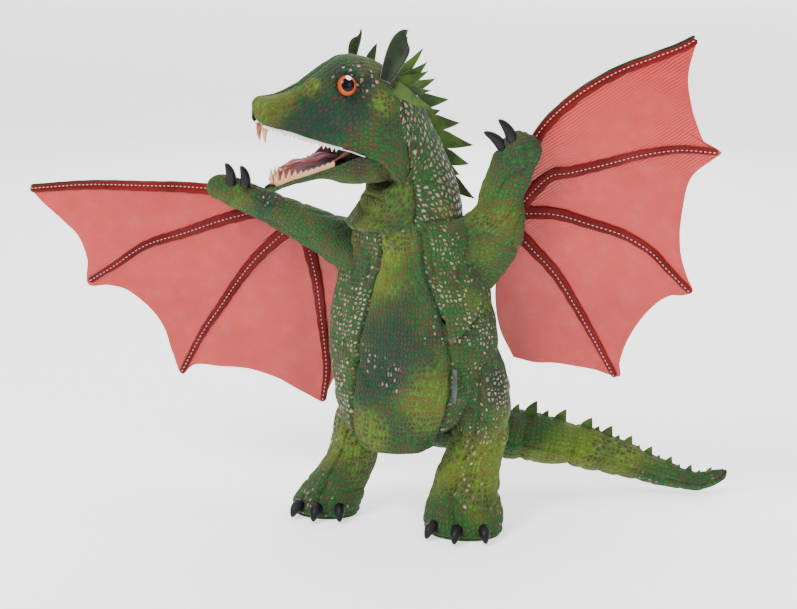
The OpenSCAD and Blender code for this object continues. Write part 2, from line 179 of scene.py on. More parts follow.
def grid_uv(p, around=True, by_length=False):
    """Map coordinates in metres: across is each point's share of its ring's length, or its true length
    round the ring."""
    m, n = p.shape[:2]
    if by_length:
        closed = np.concatenate([p, p[:, :1]], 1)
        walk = np.linalg.norm(np.diff(closed, axis=1), axis=2).cumsum(1)
        u = np.concatenate([np.zeros((m, 1)), walk], 1)
        u = u - u[:, n // 2][:, None]
    elif around:
        closed = np.concatenate([p, p[:, :1]], 1)
        length = np.linalg.norm(np.diff(closed, axis=1), axis=2).sum(1)
        u = (np.arange(n + 1) / n - 0.5)[None] * length[:, None]
    else:
        length = np.linalg.norm(np.diff(p, axis=1), axis=2).sum(1)
        u = (np.arange(n) / (n - 1) - 0.5)[None] * length[:, None]
    v = np.concatenate([[0], np.linalg.norm(np.diff(p, axis=0), axis=2).mean(1).cumsum()])
    return np.stack([u, np.broadcast_to(v[:, None], u.shape)], -1) * MM


def grid_object(name, p, uv=None, around=True, caps=True):
    """A mesh of quads over a grid of points in millimetres, closed around, with a pole at each end if
    capped."""
    m, n = p.shape[:2]
    uv = grid_uv(p, around) if uv is None else uv
    verts = p.reshape(-1, 3)
    cols = n if around else n - 1
    i, j = np.meshgrid(np.arange(m - 1), np.arange(cols), indexing="ij")
    k = (j + 1) % n
    quads = np.stack([i * n + j, i * n + k, (i + 1) * n + k, (i + 1) * n + j], -1).reshape(-1, 4)
    quad_uv = np.stack([uv[i, j], uv[i, j + 1], uv[i + 1, j + 1], uv[i + 1, j]], -2).reshape(-1, 2)
    tris, tri_uv = np.zeros((0, 3), int), np.zeros((0, 2))
    if caps:
        j = np.arange(cols)
        k = (j + 1) % n
        a, b = len(verts), len(verts) + 1
        verts = np.vstack([verts, p[0].mean(0), p[-1].mean(0)])
        last = (m - 1) * n
        first_fan = np.stack([k, j, np.full_like(j, a)], -1)
        last_fan = np.stack([last + j, last + k, np.full_like(j, b)], -1)
        tris = np.vstack([first_fan, last_fan])
        mid0, mid1 = uv[0].mean(0), uv[-1].mean(0)
        tri_uv = np.vstack([
            np.stack([uv[0, j + 1], uv[0, j], np.broadcast_to(mid0, (cols, 2))], 1).reshape(-1, 2),
            np.stack([uv[-1, j], uv[-1, j + 1], np.broadcast_to(mid1, (cols, 2))], 1).reshape(-1, 2),
        ])
    return mesh_object(name, verts, quads, tris, np.vstack([quad_uv, tri_uv]))


def mesh_object(name, verts, quads, tris, uv, smooth=True):
    """A mesh from arrays of points in millimetres, quads, triangles and one map coordinate per corner."""
    me = bpy.data.meshes.new(name)
    me.vertices.add(len(verts))
    me.vertices.foreach_set("co", (np.asarray(verts) * MM).astype(np.float32).ravel())
    corners = np.concatenate([np.asarray(quads).ravel(), np.asarray(tris).ravel()]).astype(np.int32)
    tri_starts = len(quads) * 4 + np.arange(len(tris)) * 3
    starts = np.concatenate([np.arange(len(quads)) * 4, tri_starts]).astype(np.int32)
    me.loops.add(len(corners))
    me.loops.foreach_set("vertex_index", corners)
    me.polygons.add(len(starts))
    me.polygons.foreach_set("loop_start", starts)
    layer = me.uv_layers.new(name="map")
    layer.data.foreach_set("uv", np.asarray(uv, np.float32).ravel())
    me.update(calc_edges=True)
    me.validate()
    if smooth:
        me.polygons.foreach_set("use_smooth", np.ones(len(starts), bool))
    ob = bpy.data.objects.new(name, me)
    bpy.context.scene.collection.objects.link(ob)
    return ob


def tidy_mesh(ob, gap=0.00002):
    """Joins corners that meet and turns every face outward."""
    bm = bmesh.new()
    bm.from_mesh(ob.data)
    bmesh.ops.remove_doubles(bm, verts=bm.verts, dist=gap)
    bmesh.ops.dissolve_degenerate(bm, edges=bm.edges, dist=gap / 4)
    bmesh.ops.recalc_face_normals(bm, faces=bm.faces)
    bm.to_mesh(ob.data)
    bm.free()
    ob.data.polygons.foreach_set("use_smooth", np.ones(len(ob.data.polygons), bool))
    return ob


def merged(name, parts):
    """Several objects' meshes joined into the first, which takes the name."""
    bpy.ops.object.select_all(action="DESELECT")
    for o in parts:
        o.select_set(True)
    bpy.context.view_layer.objects.active = parts[0]
    bpy.ops.object.join()
    parts[0].name = parts[0].data.name = name
    return parts[0]


def sector_object(name, outer, wall):
    """A panel with thickness: the outer grid, and a copy set in along the normals that runs out to
    nothing at its ends."""
    nrm = grid_normals(outer, around=False)
    m = len(outer)
    e = np.minimum(np.arange(m), m - 1 - np.arange(m)) / 4.0
    t = wall * np.sqrt(np.clip(1 - (1 - np.minimum(e, 1)) ** 2, 0, 1))
    inner = outer - nrm * t[:, None, None]
    ring = np.concatenate([outer, inner[:, ::-1]], 1)
    uv_outer = grid_uv(outer, around=False)
    uv = np.concatenate([uv_outer, uv_outer[:, ::-1], uv_outer[:, :1]], 1)
    return tidy_mesh(grid_object(name, ring, uv, around=True, caps=False))


# ---- materials ----


def settings():
    """The panel's sizes and colours."""
    return bpy.context.scene.puppet_sizes, bpy.context.scene.puppet_colours


class Shader:
    """A small builder for node materials, one Principled shader with named helper nodes."""

    def __init__(self, name, **fixed):
        self.mat = bpy.data.materials.new(name)
        self.mat.use_nodes = True
        self.tree = self.mat.node_tree
        self.tree.nodes.clear()
        self.out = self.add("ShaderNodeOutputMaterial")
        self.bsdf = self.add("ShaderNodeBsdfPrincipled")
        for key, value in fixed.items():
            self.bsdf.inputs[key.replace("_", " ")].default_value = value
        self.link(self.bsdf.outputs[0], self.out.inputs[0])

    def add(self, kind, **props):
        """A new node with the given properties."""
        node = self.tree.nodes.new(kind)
        for key, value in props.items():
            setattr(node, key, value)
        return node

    def link(self, a, b):
        """Joins an output to an input."""
        self.tree.links.new(a, b)

    def put(self, node, slot, value):
        """Links a socket to the input, or sets the input to a constant."""
        if isinstance(value, bpy.types.NodeSocket):
            self.link(value, node.inputs[slot])
        else:
            node.inputs[slot].default_value = value

    def coords(self, kind="Object", scale=(1, 1, 1), turn=(0, 0, 0), shift=(0, 0, 0)):
        """Texture coordinates, scaled, turned and shifted."""
        tex = self.add("ShaderNodeTexCoord")
        mapping = self.add("ShaderNodeMapping")
        mapping.inputs["Scale"].default_value = scale
        mapping.inputs["Rotation"].default_value = turn
        mapping.inputs["Location"].default_value = shift
        self.link(tex.outputs[kind], mapping.inputs["Vector"])
        return mapping.outputs[0]

    def noise(self, vector, scale, detail=2.0, rough=0.5):
        """Cloudy noise from 0 to 1."""
        node = self.add("ShaderNodeTexNoise")
        self.link(vector, node.inputs["Vector"])
        node.inputs["Scale"].default_value = scale
        node.inputs["Detail"].default_value = detail
        node.inputs["Roughness"].default_value = rough
        return node.outputs["Fac"]

    def cells(self, vector, scale, feature="F1", randomness=0.7, dims="3D"):
        """Voronoi cells, one to each scale of the print."""
        node = self.add("ShaderNodeTexVoronoi", feature=feature, voronoi_dimensions=dims)
        self.link(vector, node.inputs["Vector"])
        node.inputs["Scale"].default_value = scale
        node.inputs["Randomness"].default_value = randomness
        return node

    def math(self, op, a, b=0.0):
        """One sum on two values or sockets."""
        node = self.add("ShaderNodeMath", operation=op)
        self.put(node, 0, a)
        self.put(node, 1, b)
        return node.outputs[0]

    def ramp(self, value, lo, hi, a=0.0, b=1.0):
        """From a at lo to b at hi, along 3t^2 - 2t^3."""
        node = self.add("ShaderNodeMapRange", interpolation_type="SMOOTHSTEP", clamp=True)
        self.put(node, "Value", value)
        node.inputs["From Min"].default_value = lo
        node.inputs["From Max"].default_value = hi
        node.inputs["To Min"].default_value = a
        node.inputs["To Max"].default_value = b
        return node.outputs["Result"]

    def mix(self, factor, a, b, blend="MIX"):
        """Colour a, turning to b as the factor goes from 0 to 1."""
        node = self.add("ShaderNodeMix", data_type="RGBA", blend_type=blend)
        self.put(node, 0, factor)
        self.put(node, 6, a)
        self.put(node, 7, b)
        return node.outputs[2]

    def shaded(self, factor, colour, shade):
        """The colour multiplied by a shade, as far as the factor says."""
        return self.mix(factor, colour, self.mix(1.0, colour, (*shade, 1), "MULTIPLY"))

    def distance(self, vector, centre):
        """How far a coordinate is from a fixed point."""
        node = self.add("ShaderNodeVectorMath", operation="DISTANCE")
        self.link(vector, node.inputs[0])
        node.inputs[1].default_value = centre
        return node.outputs["Value"]

    def bump(self, height, distance, strength=1.0, under=None):
        """A normal raised by a height, on top of another normal if given."""
        node = self.add("ShaderNodeBump")
        node.inputs["Strength"].default_value = strength
        node.inputs["Distance"].default_value = distance
        self.link(height, node.inputs["Height"])
        if under is not None:
            self.link(under, node.inputs["Normal"])
        return node.outputs[0]

    def finish(self, colour, roughness, normal):
        """Joins colour, roughness and normal to the shader, and gives the material."""
        self.put(self.bsdf, "Base Color", colour)
        self.put(self.bsdf, "Roughness", roughness)
        self.link(normal, self.bsdf.inputs["Normal"])
        return self.mat


def rgba(c):
    """A colour with full alpha."""
    return (c[0], c[1], c[2], 1.0)


def scale_plush(name, wide, tall, foil, yellow, dark, red, seed, kind="UV", patches=()):
    """Napped cloth printed with rounded scales: a green net round red-brown and foil spots.

    wide and tall are a scale's size in millimetres. foil, yellow, dark and red say how much of each
    there is, and each patch is a centre, a radius and a colour to turn to."""
    _, col = settings()
    s = Shader(name, Sheen_Weight=0.06, Sheen_Roughness=0.4, Specular_IOR_Level=0.22)
    place = s.coords("Object", shift=(seed * 0.37, seed * 0.21, seed * 0.13))
    if kind == "UV":
        flat = s.coords("UV", scale=(1000 / wide, 1000 / tall, 1), shift=(seed * 3.1, seed * 5.3, 0))
        dims = "2D"
    else:
        flat = s.coords("Object", scale=(1000 / wide, 1000 / wide, 1000 / tall), shift=(seed, seed, seed))
        dims = "3D"
    edge = s.cells(flat, 1.0, "DISTANCE_TO_EDGE", 0.62, dims).outputs["Distance"]
    cell = s.cells(flat, 1.0, "F1", 0.62, dims)
    pick = s.add("ShaderNodeSeparateColor")
    s.link(cell.outputs["Color"], pick.inputs[0])
    fuzz = s.noise(place, 900, 3, 0.7)
    fine = s.noise(place, 260, 2, 0.6)
    ragged = s.math("ADD", edge, s.math("MULTIPLY", s.math("SUBTRACT", fuzz, 0.5), 0.22))
    spot = s.ramp(ragged, 0.12, 0.24)
    drift = s.noise(place, 9.0, 2, 0.5)
    drift2 = s.noise(s.coords("Object", shift=(3 + seed, 1, 2)), 13.0, 2, 0.5)
    drift3 = s.noise(s.coords("Object", shift=(7, 4 + seed, 5)), 17.0, 2, 0.5)
    light = s.ramp(drift, 0.62 - 0.3 * yellow, 0.78 - 0.2 * yellow)
    net = s.mix(light, rgba(col.green), rgba(col.yellow_green))
    net = s.mix(s.ramp(drift2, 0.72 - 0.35 * dark, 0.86 - 0.3 * dark), net, rgba(col.teal))
    spots = s.mix(s.ramp(drift3, 0.45, 0.62), rgba(col.red_brown), rgba(col.plum))
    for centre, radius, tint in patches:
        away = s.distance(s.coords("Object"), tuple(metres(centre)))
        near = s.math("ADD", away, s.math("MULTIPLY", s.math("SUBTRACT", drift2, 0.5), 0.03))
        near = s.ramp(near, radius * 0.0004, radius * 0.0014, 0.7, 0.0)
        net = s.mix(near, net, rgba(getattr(col, tint)))
        if tint == "teal":
            spots = s.mix(near, spots, rgba(col.plum))
    spots = s.mix(s.ramp(pick.outputs[0], 0.6, 0.8), spots, net)
    amount = s.math("MULTIPLY", spot, s.ramp(drift3, 0.5 - 0.4 * red, 0.64 - 0.12 * red, 0.25, 0.85))
    # painted shade: the net itself is darkened toward teal in the grooves between the scales, where the bump
    # below sinks them
    net = s.mix(s.ramp(ragged, 0.0, 0.07, 0.45, 0.0), net, rgba(col.teal))
    colour = s.mix(amount, net, spots)
    chance = s.math("ADD", drift2, s.math("MULTIPLY", pick.outputs[1], 0.28))
    shine = s.ramp(chance, 0.92 - 0.42 * foil, 1.0 - 0.36 * foil)
    shine = s.math("MULTIPLY", shine, s.ramp(ragged, 0.16, 0.3))
    shine = s.math("MULTIPLY", shine, s.ramp(fine, 0.36, 0.6))
    colour = s.mix(s.math("MULTIPLY", shine, 0.85), colour, rgba(col.foil))
    colour = s.shaded(s.ramp(fuzz, 0.25, 0.75, 0.0, 0.5), colour, (0.5, 0.55, 0.5))
    s.link(s.math("MULTIPLY", shine, 0.55), s.bsdf.inputs["Metallic"])
    rough = s.math("SUBTRACT", 0.82, s.math("MULTIPLY", shine, 0.42))
    dome = s.bump(s.ramp(ragged, 0.0, 0.3), 0.0014, 0.9)
    return s.finish(colour, rough, s.bump(fuzz, 0.0009, 0.55, dome))


def felt(name, colour, shade, seed=0):
    """Pressed felt: short tangled fibres over slow patches of a second shade."""
    s = Shader(name, Sheen_Weight=0.3, Specular_IOR_Level=0.25)
    place = s.coords("Object", shift=(seed, seed, seed))
    fibres = s.noise(place, 1100, 4, 0.75)
    patch = s.noise(place, 60, 2, 0.5)
    tone = s.mix(s.ramp(patch, 0.35, 0.65), rgba(colour), rgba(shade))
    tone = s.shaded(s.ramp(fibres, 0.3, 0.7, 0.0, 0.45), tone, (0.45, 0.5, 0.45))
    return s.finish(tone, s.ramp(fibres, 0.2, 0.8, 0.8, 0.98), s.bump(fibres, 0.0006, 0.6))


def woven(name, colour, shade, pitch=0.8, roughness=0.7, sheen=0.2):
    """Plain woven cloth: two crossed sets of fine ribs with slow patches of a second shade."""
    s = Shader(name, Sheen_Weight=sheen, Specular_IOR_Level=0.4)
    flat = s.coords("Object", scale=(1000 / pitch,) * 3)
    split = s.add("ShaderNodeSeparateXYZ")
    s.link(flat, split.inputs[0])
    wave = [s.math("SINE", s.math("MULTIPLY", split.outputs[k], TAU)) for k in range(3)]
    weave = s.math("MULTIPLY", s.math("ADD", wave[0], wave[1]), wave[2])
    place = s.coords("Object")
    patch = s.noise(place, 70, 3, 0.6)
    tone = s.mix(s.ramp(patch, 0.35, 0.7), rgba(colour), rgba(shade))
    tone = s.shaded(s.ramp(weave, -1.5, 1.5, 0.0, 0.3), tone, (0.6, 0.6, 0.6))
    grain = s.noise(place, 500, 3, 0.6)
    rough = s.ramp(grain, 0.3, 0.7, roughness - 0.1, roughness + 0.1)
    return s.finish(tone, rough, s.bump(weave, 0.0002, 0.4, s.bump(grain, 0.0004, 0.4)))


def close_mesh(name, colour, shade, pitch=2.1):
    """Close net: two crossed sets of threads over slow patches of a second shade."""
    s = Shader(name, Sheen_Weight=0.02, Specular_IOR_Level=0.15)
    flat = s.coords("UV", scale=(1000 / pitch, 1000 / pitch, 1), turn=(0, 0, 0.62))
    split = s.add("ShaderNodeSeparateXYZ")
    s.link(flat, split.inputs[0])
    along = s.math("SINE", s.math("MULTIPLY", split.outputs[0], TAU))
    across = s.math("SINE", s.math("MULTIPLY", split.outputs[1], TAU * 1.7))
    threads = s.math("ADD", s.math("MULTIPLY", along, 0.65), s.math("MULTIPLY", across, 0.35))
    place = s.coords("Object")
    patch = s.noise(place, 14, 3, 0.55)
    strands = s.noise(place, 420, 2, 0.6)
    tone = s.mix(s.ramp(patch, 0.35, 0.7), rgba(colour), rgba(shade))
    tone = s.shaded(s.ramp(threads, -0.9, 0.9, 0.0, 0.35), tone, (0.62, 0.5, 0.5))
    tone = s.shaded(s.ramp(strands, 0.35, 0.7, 0.0, 0.25), tone, (0.7, 0.6, 0.6))
    return s.finish(tone, s.ramp(strands, 0.3, 0.7, 0.5, 0.75), s.bump(threads, 0.0003, 0.5))


def dress(ob, material):
    """Gives the object its one material."""
    ob.data.materials.clear()
    ob.data.materials.append(material)
    return ob


# ---- glove body ----

# [height, middle x, half width, half depth, seam angle] up the body
BODY_ROWS = [
    [84, -12, 53, 38, 54],
    [88, -12, 61, 43, 52],
    [104, -10, 67, 47, 48],
    [130, -6, 77, 50, 43],
    [160, -1, 88, 52, 38],
    [195, 2, 94, 53, 34],
    [240, 2, 92, 51, 28],
    [276, 0, 84, 48, 22],
    [298, 0, 73, 46, 20],
    [322, 0, 66, 48, 20],
    [336, -1, 62, 50, 20],
    [346, -4, 55, 50, 20],
]
# the seams beside the back, in degrees from the front
BACK_SEAM = 125


def body_surface(angle, rows):
    """Point at an angle from the front: middle + (half width sin, -half depth cos), with stuffing
    ripples and flaps."""
    a = np.radians(angle)
    z, cx, hw, hd = (rows[:, k][:, None] for k in range(4))
    hem = 15 * step(25, 75, np.abs(angle)) * np.clip(1 - (z - 84) / 70, 0, 1)
    p = np.stack([cx + hw * np.sin(a), -8 - hd * np.cos(a), z + hem], -1)
    out = unit(np.stack([np.sin(a) / hw, -np.cos(a) / hd, np.zeros_like(a)], -1))
    lift = 2.0 * ripple(p, 75, 3) + 0.9 * ripple(p, 26, 4) + 2.0 * folds(p * [1, 1, 0.6], 70, 6)
    lift += 2.6 * folds(p * [1, 1, 0.35], 34, 8) * bell(z - 300, 30)
    # a pointed flap hangs from the left arm over the side of the body
    flap_edge = 219 + 74 * np.clip((angle - 36) / 50, 0, 1) ** 1.3
    inside = step(-1.5, 2.0, p[..., 2] - flap_edge) * step(28, 31, angle) * step(116, 100, angle)
    lift += inside * 4.5 - 3.0 * bell(p[..., 2] - flap_edge, 2.4) * step(31, 33, angle) * step(104, 98, angle)
    return p + out * lift[..., None]


def panel(name, start, end, across, lowest, wall):
    """A body panel between two seam curves; its edges roll in by a bell-shaped plunge so the seam reads
    as a groove."""
    sizes, _ = settings()
    rows = smooth_rows(BODY_ROWS, 300)
    rows = rows[rows[:, 0] >= lowest]
    t = np.linspace(0, 1, across)[None]
    a, b = start(rows)[:, None], end(rows)[:, None]
    p = body_surface(a + (b - a) * t, rows)
    nrm = grid_normals(p, around=False)
    arc = np.linalg.norm(np.diff(p, axis=1), axis=2)
    s = np.concatenate([np.zeros((len(p), 1)), arc.cumsum(1)], 1)
    edge = np.minimum(s, s[:, -1:] - s)
    p = p - nrm * (sizes.seam_depth * 1000 * bell(edge, 2.6))[..., None]
    # the hem rolls in too
    p = p - nrm * (3.0 * bell(np.arange(len(p)), 3.0))[:, None, None]
    return sector_object(name, body_pt(p), wall)


def stuffed(ob, held, pressure=4.0, slack=0.05, limit=3.5):
    """Cloth simulation of the padding: a coarse copy is blown up, and its capped moves go to the piece.

    Each fine point takes the mean of the moves of its four nearest coarse points, each weighted by one
    over its distance."""
    copy = ob.copy()
    copy.data = ob.data.copy()
    bpy.context.scene.collection.objects.link(copy)
    remesh = copy.modifiers.new("coarse", "REMESH")
    remesh.mode, remesh.voxel_size = "VOXEL", 0.005
    bpy.context.view_layer.update()
    coarse = bpy.data.meshes.new_from_object(copy.evaluated_get(bpy.context.evaluated_depsgraph_get()))
    copy.modifiers.clear()
    copy.data = coarse
    rest = mesh_points(coarse)
    group = copy.vertex_groups.new(name="held")
    for index, weight in enumerate(held(rest * 1000)):
        if weight > 0.01:
            group.add([index], float(weight), "REPLACE")
    cloth = copy.modifiers.new("cloth", "CLOTH")
    c = cloth.settings
    c.quality, c.mass = 6, 0.3
    c.tension_stiffness = c.compression_stiffness = 15
    c.shear_stiffness, c.bending_stiffness = 5, 0.5
    c.use_pressure, c.uniform_pressure_force = True, pressure
    c.shrink_min = -slack
    c.vertex_group_mass = "held"
    c.effector_weights.gravity = 0
    cloth.point_cache.frame_start, cloth.point_cache.frame_end = 1, 20
    for f in range(1, 21):
        bpy.context.scene.frame_set(f)
    after = mesh_points(copy.evaluated_get(bpy.context.evaluated_depsgraph_get()).data)
    move = (after - rest) * 1000
    size = np.linalg.norm(move, axis=1, keepdims=True)
    move = move * np.minimum(1, limit / np.maximum(size, 1e-6))
    tree = KDTree(len(rest))
    for index, point in enumerate(rest):
        tree.insert(point, index)
    tree.balance()
    fine = mesh_points(ob.data)
    moved = fine.copy()
    for i, point in enumerate(fine):
        near = tree.find_n(point, 4)
        w = np.array([1 / (n[2] + 0.0008) for n in near])
        moved[i] += (move[[n[1] for n in near]] * w[:, None]).sum(0) / w.sum() * MM
    ob.data.vertices.foreach_set("co", moved.astype(np.float32).ravel())
    ob.data.update()
    bpy.data.objects.remove(copy)
    bpy.context.scene.frame_set(1)
    return ob


def mesh_points(mesh):
    """The mesh's points in metres, one row each."""
    co = np.empty(len(mesh.vertices) * 3, np.float32)
    mesh.vertices.foreach_get("co", co)
    return co.reshape(-1, 3).astype(float)


class PUPPET_OT_glove_body(bpy.types.Operator):
    """The four panels of the glove body, its sleeve lining and the blank side label"""

    bl_idname = "puppet.glove_body"
    bl_label = "Glove body"

    def execute(self, context):
        wall = settings()[0].wall * 1000
        belly = panel("belly_front", lambda r: -r[:, 4], lambda r: r[:, 4], 130, 83, wall)
        marks = [
            (body_pt((-14, -58, 215)), 44, "teal"), (body_pt((-30, -58, 170)), 30, "teal"),
            (body_pt((38, -52, 150)), 40, "yellow_green"), (body_pt((-40, -50, 110)), 26, "yellow_green"),
        ]
        dress(belly, scale_plush("belly_scales", 4.0, 6.2, 0.25, 0.4, 0.45, 0.6, 1, patches=marks))
        left = panel("flank_left", lambda r: r[:, 4], lambda r: 0 * r[:, 4] + BACK_SEAM, 130, 100, wall)
        dress(left, scale_plush("flank_scales", 4.2, 5.4, 0.75, 0.3, 0.4, 0.5, 2))
        right = panel("flank_right", lambda r: 0 * r[:, 4] - BACK_SEAM, lambda r: -r[:, 4], 130, 84, wall)
        dress(right, left.data.materials[0])
        back = panel("back", lambda r: 0 * r[:, 4] + BACK_SEAM, lambda r: 0 * r[:, 4] + 360 - BACK_SEAM,
            130, 104, wall)
        dress(back, scale_plush("back_scales", 6.5, 7.5, 0.6, 0.4, 0.6, 0.5, 3))
        nodes = ("belly_panel", "side_panel_left", "side_panel_right", "back_panel")
        for ob, node in zip((belly, left, right, back), nodes):
            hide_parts(node)
            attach(ob, "torso")
        lining = self.lining()
        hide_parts("glove_lining")
        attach(lining, "torso")
        label = self.label()
        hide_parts("side_label")
        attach(label, "torso")
        return {"FINISHED"}

    def lining(self):
        """The sleeve: a circle of the bore's radius carried down the body, wall to wall, flaring to the
        hem."""
        low, high = node_box("glove_lining")
        mid = (low + high) / 2
        r = (high[0] - low[0]) / 2
        z = np.linspace(high[2], low[2], 90)
        flare = 2 * step(low[2] + 30, low[2], z)
        outer = np.stack([z, r + flare], 1)
        inner = np.stack([z[::-1], r - 1.6 + flare[::-1]], 1)
        prof = np.vstack([outer, inner])
        th = np.linspace(0, TAU, 160, endpoint=False)[None]
        rad = prof[:, 1:] + 0.35 * np.sin(23 * th + prof[:, :1] / 14)
        height = np.broadcast_to(prof[:, :1], rad.shape)
        p = np.stack([mid[0] + rad * np.cos(th), mid[1] + rad * np.sin(th), height], -1)
        p = np.concatenate([p, p[:1]], 0)
        ob = tidy_mesh(grid_object("sleeve_lining", p, caps=False))
        _, col = settings()
        return dress(ob, woven("lining_cloth", col.lining, col.teal, 0.9, 0.75))

    def label(self):
        """A blank folded ribbon: a flat loop swept up the seam."""
        low, high = node_box("side_label")
        c = (low + high) / 2
        th = np.linspace(0, TAU, 40, endpoint=False)[None]
        z = np.linspace(low[2], high[2] - 1, 40)[:, None]
        s = (z - low[2]) / (high[2] - low[2])
        wide = 4.6 - 0.6 * s
        thick = 1.2 + 0.5 * np.sin(s * 3)
        lean = 2.0 * np.sin(s * 2.6)
        turn = math.radians(-48)
        a, b = wide * np.cos(th), thick * np.sin(th) + lean
        x = c[0] + a * math.cos(turn) - b * math.sin(turn)
        y = c[1] - 1 + a * math.sin(turn) + b * math.cos(turn)
        p = np.stack([x, y, z + 0 * a], -1)
        ob = tidy_mesh(grid_object("side_label_ribbon", p))
        _, col = settings()
        return dress(ob, woven("label_tape", col.label, (0.06, 0.09, 0.075), 0.6, 0.6, 0.05))


# ---- neck ----

# [front out, front up, back out, back up, half width] of each ring, in the head's own axes
NECK_ROWS = [
    [50, -113, -84, -113, 60],
    [45, -108, -82, -107, 58],
    [37, -98, -80, -92, 54],
    [32, -87, -75, -72, 50],
    [27, -81, -64, -48, 47],
    [23, -78, -50, -18, 45],
    [16, -76, -34, 12, 44],
    [7, -74, -14, 39, 43],
    [0, -71, 2, 51, 42],
    [5, -66, 8, 48, 39],
]


def neck_surface(angle, r):
    """Ellipse between a front and a back point: middle + half length cos(t) along the line, half width
    sin(t) across."""
    a = np.radians(angle)
    f = np.stack([r[:, 0], 0 * r[:, 0], r[:, 1]], -1)[:, None]
    b = np.stack([r[:, 2], 0 * r[:, 0], r[:, 3]], -1)[:, None]
    half = np.linalg.norm(f - b, axis=-1, keepdims=True) / 2
    line = unit(f - b)
    p = (f + b) / 2 + line * half * np.cos(a)[..., None]
    return p + np.array([0, 1.0, 0]) * (r[:, 4][:, None] * np.sin(a))[..., None]


def neck_panel(name, start, end, across, wall):
    """A neck panel between two seam angles, with throat folds where the neck bends and rolled seam edges."""
    sizes, _ = settings()
    r = smooth_rows(NECK_ROWS, 230)
    t = np.linspace(0, 1, across)[None]
    a = (start + (end - start) * t) + 0 * r[:, :1]
    p = neck_surface(a, r)
    nrm = grid_normals(p, around=False)
    lift = 1.0 * ripple(p, 60, 21) + 0.5 * ripple(p, 22, 22)
    front = bell(np.where(a > 180, a - 360, a), 70)
    lift += front * 2.6 * folds(p * [0.5, 0.5, 1.0], 30, 23) + 0.9 * folds(p, 70, 24)
    arc = np.linalg.norm(np.diff(p, axis=1), axis=2)
    s = np.concatenate([np.zeros((len(p), 1)), arc.cumsum(1)], 1)
    edge = np.minimum(s, s[:, -1:] - s)
    lift -= sizes.seam_depth * 1000 * bell(edge, 2.6)
    return sector_object(name, head_pt(p + nrm * lift[..., None]), wall)


class PUPPET_OT_neck(bpy.types.Operator):
    """The throat and nape panels of the neck and the felt crest down its back"""

    bl_idname = "puppet.neck"
    bl_label = "Neck"

    def execute(self, context):
        sizes, col = settings()
        wall = sizes.wall * 1000
        throat = neck_panel("throat", -74, 74, 120, wall)
        dress(throat, scale_plush("throat_scales", 4.6, 6.0, 0.45, 0.85, 0.3, 0.35, 5))
        nape = neck_panel("nape", 74, 286, 170, wall)
        dress(nape, scale_plush("nape_scales", 6.4, 8.0, 1.0, 0.35, 0.5, 0.6, 6))
        for ob, node in ((throat, "neck_throat"), (nape, "neck_nape")):
            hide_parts(node)
            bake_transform(ob)
        leaves = []
        # [base out, base up, tip out, tip up, width, offset] of each leaf
        rows = [
            [-27, 30, -55, 38, 13, -1.5], [-36, 16, -66, 16, 17, 1.5], [-44, 1, -62, 3, 12, -1.5],
            [-50, -8, -81, -11, 18, 1.5], [-58, -24, -96, -36, 19, 1.5], [-66, -44, -95, -58, 16, 1.5],
            [-70, -57, -85, -70, 12, -1.5], [-75, -72, -99, -96, 15, 1.5],
        ]
        for i, (bo, bu, to, tu, w, off) in enumerate(rows):
            leaves.append(leaf("leaf", (bo + 5, off, bu), (to, off * 2.2, tu), w, (0, 1, 0), 1.9, i))
        crest = merged("neck_crest_leaves", leaves)
        dress(crest, felt("crest_felt", col.felt, col.felt_dark, 1))
        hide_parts("neck_crest")
        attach(crest, "neck")
        return {"FINISHED"}


def leaf(name, base, tip, width, normal, thick, seed, space=None, curl=0.12):
    """A felt leaf: even width for a quarter of the blade, then falling to the tip, bent by a parabola
    out of its plane."""
    space = head_pt if space is None else space
    base, tip = np.asarray(base, float), np.asarray(tip, float)
    d = tip - base
    length = np.linalg.norm(d)
    d = d / length
    nrm = unit(np.asarray(normal, float) - d * np.dot(normal, d))
    side = np.cross(nrm, d)
    v = np.linspace(0, 1, 26)[:, None]
    half = width / 2 * np.where(v < 0.25, 1.0, np.clip(1 - (np.clip(v - 0.25, 0, 1) / 0.75) ** 1.25, 0.02, 1))
    th = np.linspace(0, TAU, 28, endpoint=False)[None]
    cs = np.cos(th)
    sn = np.sign(np.sin(th)) * np.abs(np.sin(th)) ** 0.35
    x = half * cs
    y = thick / 2 * sn * np.clip(half / 2.0, 0.25, 1)
    bend = curl * length * (v**2) * np.sin(seed * 2.1) + 0.9 * np.sin(v * 5 + seed) * 0.4
    fold = -0.06 * np.abs(x) * (1 + np.sin(seed * 3.3))
    sweep = -0.16 * length * v * (1 - v)
    blade = base + d * (length * v)[..., None]
    p = blade + side * (x + sweep)[..., None] + nrm * (y + bend + fold)[..., None]
    return tidy_mesh(grid_object(name, space(p)))


# ---- head ----

# [out, lip, top, half width] from the back of the head to the nose
SKULL_ROWS = [
    [1, -60, 50, 42],
    [8, -62, 56, 43],
    [18, -50, 61, 42],
    [30, -39, 66, 41],
    [45, -33, 69, 39],
    [62, -26, 68, 36],
    [80, -21, 59, 32],
    [95, -16, 49, 28],
    [107, -12, 40, 25],
    [122, -6, 33, 22],
    [136, -2, 30, 20],
    [146, 1, 29, 17],
    [153, 4, 26, 12],
    [156.5, 9, 20, 5],
]
# [size as a share of the rim, distance in from the rim] of each ring of the hollow at the back
HOLLOW_RINGS = [[0.25, 68], [0.5, 58], [0.66, 40], [0.78, 22], [0.86, 6], [0.9, 0.5], [0.96, -1.5]]


